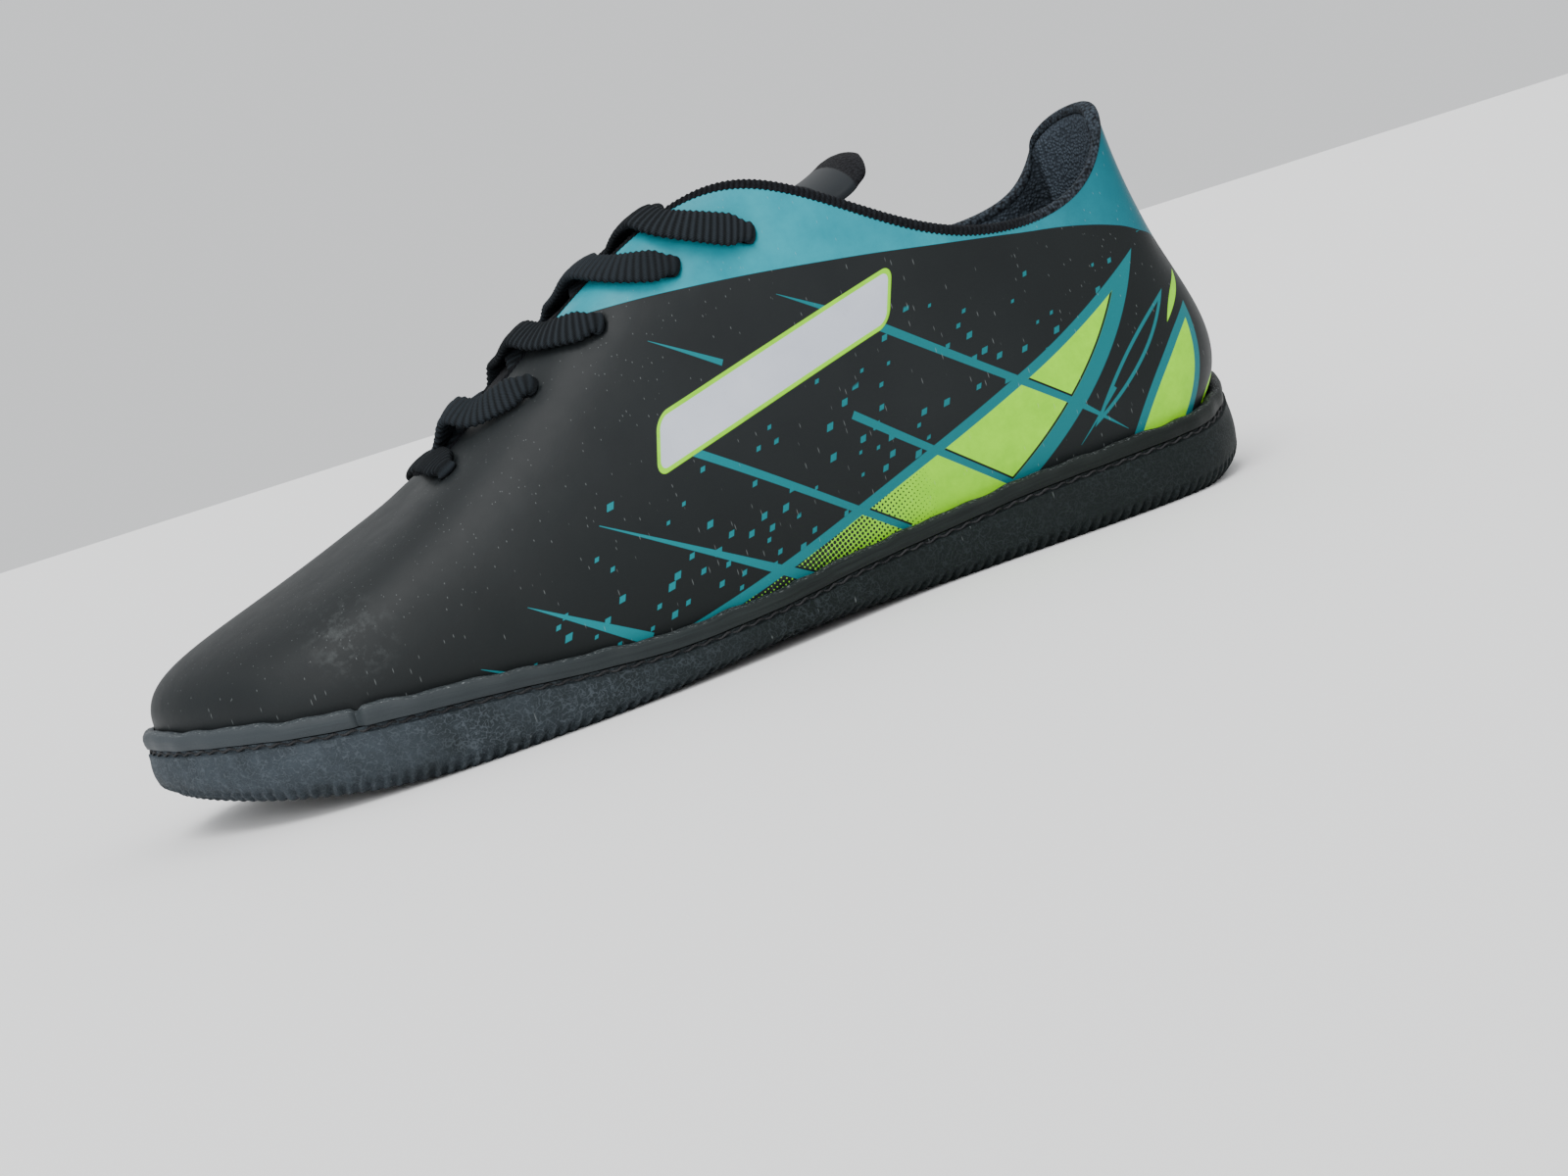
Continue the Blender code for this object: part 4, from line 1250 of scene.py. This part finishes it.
def makeRimStrip(material, sizes):
    u = aroundShoe(sizes["columns"])
    last = lastAt(u)
    run = outlineRuns(u)
    fromJoint = run - np.interp(sizes["joint"], u, run)
    slit = np.exp(-(fromJoint / sizes["jointGap"]) ** 2) * sizes["jointDepth"]
    step = (fromJoint < 0) * np.exp(fromJoint / sizes["stepFade"]) * sizes["jointStep"]
    turns = 2 * math.pi * run / run[-1]
    uneven = sizes["uneven"] * sum(np.sin(count * turns + phase) for count, phase in sizes["waves"])
    base = last["top"] - lastSizes["rimHeight"]
    topStart, topEnd = sizes["topInsets"]
    rows, marks, tops = [], [], []
    for inset, height in rimProfile:
        shift = (slit - step + uneven) * (1 - ease(inset, *sizes["outerShares"]))
        spare = step * sizes["stepLift"] - slit * sizes["slitDrop"] + uneven
        top = base + height * lastSizes["rimHeight"] + spare * ease(height, *sizes["upperShares"])
        rows.append(ringAt(last, inset * lastSizes["cupWall"] + shift, top))
        marks.append(runMark(run, (inset + height) * sizes["sectionRun"]))
        tops.append(np.full((len(u), 3), height * (topStart < inset < topEnd) / 1000))
    bm = drapeGrid(rows, {"run": marks, "top": tops})
    strip = addPiece("rim_strip_rubber", bm, material, 50.0)
    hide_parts("rim_strip")


stitchSizes = {
    "columns": 1900,
    "around": 8,
    "pitch": 0.0042,
    "radius": 0.00030,
    "thinnest": 0.6,
    "pull": 0.0007,
    "inset": 0.0010,
    "slant": 0.0003,
    "seamShare": 0.45,
    "fullness": 1.2,
}


def makeStitches(material, sizes):
    # one thread in the groove under the rim strip: it stands proud along each stitch
    u = aroundShoe(sizes["columns"])
    last = lastAt(u)
    run = outlineRuns(u, sizes["pitch"])
    turns = math.pi * run / sizes["pitch"]
    stitch = np.clip(sizes["fullness"] * abs(np.sin(turns)), 0.0, 1.0) ** 0.5
    inset = sizes["inset"] + sizes["pull"] * (1 - stitch)
    height = last["seam"] - outsoleSizes["seamHeight"] * sizes["seamShare"]
    middle = ringAt(last, inset, height + sizes["slant"] * np.sin(2 * turns))
    radius = sizes["radius"] * (sizes["thinnest"] + (1 - sizes["thinnest"]) * stitch)[:, None]
    side = np.column_stack([last["outward"], 0 * run]) * radius
    section = squarish(sizes["around"])
    bm = tubeGrid(middle, side, np.array([0, 0, 1]) * radius, section, run, section[:, 0] * sizes["radius"])
    addPiece("sole_stitches", bm, material)


makeOutsole(makeRubberPaint(), outsoleSizes)
makeRimStrip(makeRimPaint(), rimSizes)
makeStitches(makeThreadPaint(), stitchSizes)
print("sole made")

# Metres, and shares of a crossing's way. Rows of four go by the crossing, from the toe up
laceSizes = {
    "width": 0.0080,
    "thickness": 0.0024,
    "pinch": 0.54,
    "plump": 0.25,
    "tipFull": 0.0042,
    "tipStart": -0.1,
    "insideNarrow": 0.0040,
    "insideFull": 0.0090,
    "lift": 0.0003,
    "crossLift": (0.0040, 0.0022, 0.0020, 0.0016),
    "lean": (0.50, 0.30, 0.30, 0.25),
    "leanLift": 0.0013,
    "crossPlace": 0.62,
    "crossSpread": 0.15,
    "turnShare": 0.12,
    "alongOuter": (0.78, 0.85, 0.95, 1.35),
    "alongInner": 0.40,
    "snug": 1.6,
    "probes": 61,
    "probeReach": 0.05,
    "steepest": 0.4,
    "beforeEdge": 0.07,
    "underEnd": 0.97,
    "underProbes": 12,
    "underSink": 0.4,
    "underGap": 0.0008,
    "topRows": 60,
    "rows": 140,
    "spacing": 0.00028,
    "smoothMiddle": 14,
    "smoothTurn": 240,
    "smoothPinch": 10,
    "around": 22,
    "facePower": 0.6,
    "ribPitch": 0.00155,
    "ribDepth": 0.12,
    "edgeDepth": 0.040,
    "inside": 0.0030,
    "overshoot": 0.0012,
    "rimShare": 0.7,
}
laceLift = laceSizes["lift"] + laceSizes["thickness"] / 2
up = Vector((0, 0, 1))


def laceRoute(start, end, along, snug):
    # a plan curve between two eyelets that first runs along the eyestay, as (place, heading) at a share
    turn = start.lerp(end, laceSizes["turnShare"])
    turn.x = start.x + (end.x - start.x) * along

    def place(share):
        weights = ((1 - share) ** 2, 2 * snug * share * (1 - share), share ** 2)
        return (start * weights[0] + turn * weights[1] + end * weights[2]) / sum(weights)

    def at(share):
        heading = place(share + slopeStep) - place(share - slopeStep)
        return place(share), Vector((heading.x, heading.y, 0.0)).normalized()

    return at


def pulledTight(runs, heights):
    # indexes of the places that a tight lace touches
    kept = []
    for i in range(len(runs)):
        while len(kept) > 1:
            a, b = kept[-2:]
            rise, step = heights[b] - heights[a], runs[b] - runs[a]
            if step * (heights[i] - heights[b]) < rise * (runs[i] - runs[b]):
                break
            kept.pop()
        kept.append(i)
    return kept


def castLine(route, ends, reach, trees, lift):
    # places over the trees along a share of the route, pulled tight, and the faces' normals there
    spots, facings, runs = [], [], [0.0]
    for share in np.linspace(0.0, reach, laceSizes["probes"]):
        base, heading = route(share)
        local = share / reach
        away = ends[0] * (1 - local) ** 2 + ends[1] * local ** 2 + up * (2 * local * (1 - local))
        away.normalize()
        best = None
        for tree in trees:
            point, normal, _, _ = tree.ray_cast(base + away * laceSizes["probeReach"], -away)
            if point is not None:
                facing = normal if normal.dot(away) > 0 else -normal
                height = (point - base).dot(away) + lift / max(facing.dot(away), laceSizes["steepest"])
                if best is None or height > best[0]:
                    best = (height, facing + away)
        if best is not None:
            spots.append(base + away * best[0])
            facings.append(best[1])
            if len(spots) > 1:
                runs.append(runs[-1] + (spots[-1] - spots[-2]).dot(heading))
    line, facings = np.array(spots), np.array(facings)
    kept = pulledTight(runs, line[:, 2])
    keptRuns = [runs[i] for i in kept]
    line[:, 2] = np.interp(runs, keptRuns, line[kept, 2])
    normals = [np.interp(runs, keptRuns, facings[kept, axis]) for axis in range(3)]
    return line, unit(np.stack(normals, 1))


def throatHalf(x):
    # half the throat's width at x, from the edge between the collar and the toe
    ribs = ribAt(np.linspace(4.5, toeRib, 300))
    return abs(ribs[np.argmin(abs(ribs[:, 4] - x)), 2])


def withHeelward(line, normals, sign):
    # rows of a place and of the direction across the lace, to the heel
    return np.concatenate([line, unit(np.cross(np.gradient(line, axis=0), normals)) * sign], 1)


def tipRows(first, second, eyelet, sizes):
    # the lace comes out of the eyelet a little behind it and folds over its rim
    place, outward = eyelet
    back = Vector(first[:3] - second[:3]).normalized() * sizes["overshoot"]
    deep = place + back * 0.4 - outward * laceLift
    over = place + back + outward * laceLift * sizes["rimShare"]
    return [[*deep, *first[3:]], [*over, *first[3:]]]


def strand(over, side, sizes):
    # from an eyelet over its eyestay and under the other one to the next eyelet
    start, end = eyeletPlaces[2 * over + (side > 0)], eyeletPlaces[2 * (over - 1) + (side < 0)]
    outer = side < 0
    along = sizes["alongOuter"][over - 1] if outer else sizes["alongInner"]
    lean = sizes["lean"][over - 1] if outer else 0.0
    crossLift = sizes["crossLift"][over - 1] if outer else 0.0
    route = laceRoute(start[0], end[0], along, sizes["snug"])
    edgeShare = 1.0
    for share in np.linspace(0.5, 1.0, 101):
        spot, _ = route(share)
        if abs(spot.y) > throatHalf(spot.x) and spot.y * end[0].y > 0:
            edgeShare = share
            break
    lift = laceLift + lean * sizes["leanLift"]
    trees = (shellTree, tongueTree)
    line, normals = castLine(route, (start[1], up), edgeShare - sizes["beforeEdge"], trees, lift)
    normals = unit(normals - np.array([0.0, lean, 0.0]))
    rows = resample(withHeelward(line, normals, -side), sizes["topRows"])
    fromCross = np.linspace(0, 1, sizes["topRows"]) - sizes["crossPlace"]
    rows[:, 2] += np.exp(-(fromCross / sizes["crossSpread"]) ** 2) * crossLift
    lowered = []
    for share in np.linspace(edgeShare, sizes["underEnd"], sizes["underProbes"]):
        spot, heading = route(share)
        point, _, _, _ = tongueTree.ray_cast(Vector((spot.x, spot.y, 0.2)), -up)
        roof, _, _, _ = liningTree.ray_cast(Vector((spot.x, spot.y, 0.03)), up)
        if point is not None and roof is not None:
            height = min(point.z + sizes["thickness"] * sizes["underSink"], roof.z - sizes["underGap"])
            lowered.append((spot.x, spot.y, height, -side * heading.y, side * heading.x, 0.0))
    _, heading = route(1.0)
    lowered.append((*(end[0] - end[1] * sizes["inside"]), -side * heading.y, side * heading.x, 0.0))
    tip = tipRows(rows[0], rows[1], start, sizes)
    return resample(np.concatenate([tip, rows, lowered]), sizes["rows"])


def laceBar(sizes):
    # straight across at the lowest eyelets
    start, end = eyeletPlaces[:2]
    route = laceRoute(start[0], end[0], sizes["turnShare"], 1.0)
    line, normals = castLine(route, (start[1], end[1]), 1.0, (shellTree, tongueTree), laceLift)
    rows = withHeelward(line, normals, 1.0)
    tip = tipRows(rows[0], rows[1], start, sizes)
    farTip = tipRows(rows[-1], rows[-2], end, sizes)
    return resample(np.concatenate([tip, rows, farTip[::-1]]), sizes["rows"])


def laceRun(sizes):
    # the whole lace: down one set of crossings, across the bar and up the other set
    levels = range(1, len(eyelets))
    down = [strand(over, 1 if over % 2 else -1, sizes) for over in reversed(levels)]
    risen = [strand(over, -1 if over % 2 else 1, sizes)[::-1] for over in levels]
    runs = [*down, laceBar(sizes), *risen]
    ends = [np.concatenate([place - outward * sizes["inside"], row[3:]])
            for (place, outward), row in zip(eyeletPlaces[-2:], (runs[0][0], runs[-1][-1]))]
    return np.concatenate([ends[:1], *runs, ends[1:]])


def pinchAt(spots, sizes):
    # the lace narrows to a round tip over each eyelet and stays narrow inside it
    full = np.ones(len(spots))
    for point, outward in eyeletPlaces:
        away = spots - np.array(point)
        far = np.linalg.norm(away, axis=1)
        height = away @ np.array(outward)
        level = np.sqrt(np.maximum(far**2 - height**2, 0.0))
        outside = ease(level, sizes["tipStart"] * sizes["tipFull"], sizes["tipFull"])
        within = ease(far, sizes["insideNarrow"], sizes["insideFull"])
        near = np.where(height > 0, outside, within)
        full = np.minimum(full, np.where(far < sizes["insideFull"], near, 1.0))
    return sizes["pinch"] + (1 - sizes["pinch"]) * full


def smoothed(line, times):
    for _ in range(times):
        line[1:-1] = (line[:-2] + 2 * line[1:-1] + line[2:]) / 4
    return line


def makeLace(material, sizes):
    table = laceRun(sizes)
    stations = np.arange(0.0, runsOf(table[:, :3])[-1], sizes["spacing"])
    table = resample(table, stations)
    middle = smoothed(table[:, :3], sizes["smoothMiddle"])
    along = unit(np.gradient(middle, axis=0))
    heelward = smoothed(table[:, 3:], sizes["smoothTurn"])
    heelward = unit(heelward - along * np.sum(heelward * along, axis=1, keepdims=True))
    ribs = np.cos(2 * math.pi * stations / sizes["ribPitch"])[:, None]
    pinch = smoothed(pinchAt(middle, sizes)[:, None], sizes["smoothPinch"])
    half = heelward * (pinch + sizes["edgeDepth"] * ribs) * sizes["width"] / 2
    thick = sizes["thickness"] / 2 * (1 + sizes["ribDepth"] * ribs) * (1 + sizes["plump"] * (1 - pinch))
    section = squarish(sizes["around"], 1.0, sizes["facePower"])
    rise = np.cross(along, heelward) * thick
    bm = tubeGrid(middle, -half, rise, section, stations, -section[:, 1] * sizes["width"] / 2)
    closeEnds(bm)
    lace = addPiece("lace_flat", bm, material)
    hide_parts("lace_bar", *[f"lace_cross_{index}" for index in range(1, len(eyelets))])


makeLace(makeBraidPaint("laceBraid", 1.55, finishColours["lace"]), laceSizes)
print("lace made")

studioSizes = {
    "floorHalf": 30.0,
    "floorColour": (0.86, 0.86, 0.86, 1.0),
    "floorRoughness": 0.8,
    "skyColour": (0.97, 0.985, 1.0, 1.0),
    "skyStrength": 0.92,
}
# Soft lights from far off: name, direction they come from, spread in degrees, strength
studioLights = [
    ("keyLight", (-0.26, -0.34, 0.90), 34.0, 2.3),
    ("sideLight", (-0.50, -0.82, 0.42), 40.0, 1.5),
    ("fillLight", (0.70, -0.20, 0.80), 50.0, 0.20),
    ("backLight", (0.20, 0.90, 0.75), 40.0, 0.20),
]


def makeStudio(sizes, lights):
    bm = bmesh.new()
    bmesh.ops.create_grid(bm, x_segments=4, y_segments=4, size=sizes["floorHalf"])
    mesh = bpy.data.meshes.new("floor")
    bm.to_mesh(mesh)
    bm.free()
    mesh.materials.append(Paint("paleFloor").finish(sizes["floorColour"], sizes["floorRoughness"]))
    floor = bpy.data.objects.new("floor", mesh)
    bpy.context.scene.collection.objects.link(floor)
    world = bpy.data.worlds.new("paleSky")
    world.use_nodes = True
    sky = world.node_tree.nodes["Background"]
    sky.inputs["Color"].default_value = sizes["skyColour"]
    sky.inputs["Strength"].default_value = sizes["skyStrength"]
    bpy.context.scene.world = world
    for name, comesFrom, spread, strength in lights:
        data = bpy.data.lights.new(name, "SUN")
        data.angle = math.radians(spread)
        data.energy = strength
        light = bpy.data.objects.new(name, data)
        light.rotation_euler = Vector(comesFrom).to_track_quat("Z", "Y").to_euler()
        bpy.context.scene.collection.objects.link(light)


makeStudio(studioSizes, studioLights)
print("studio made")
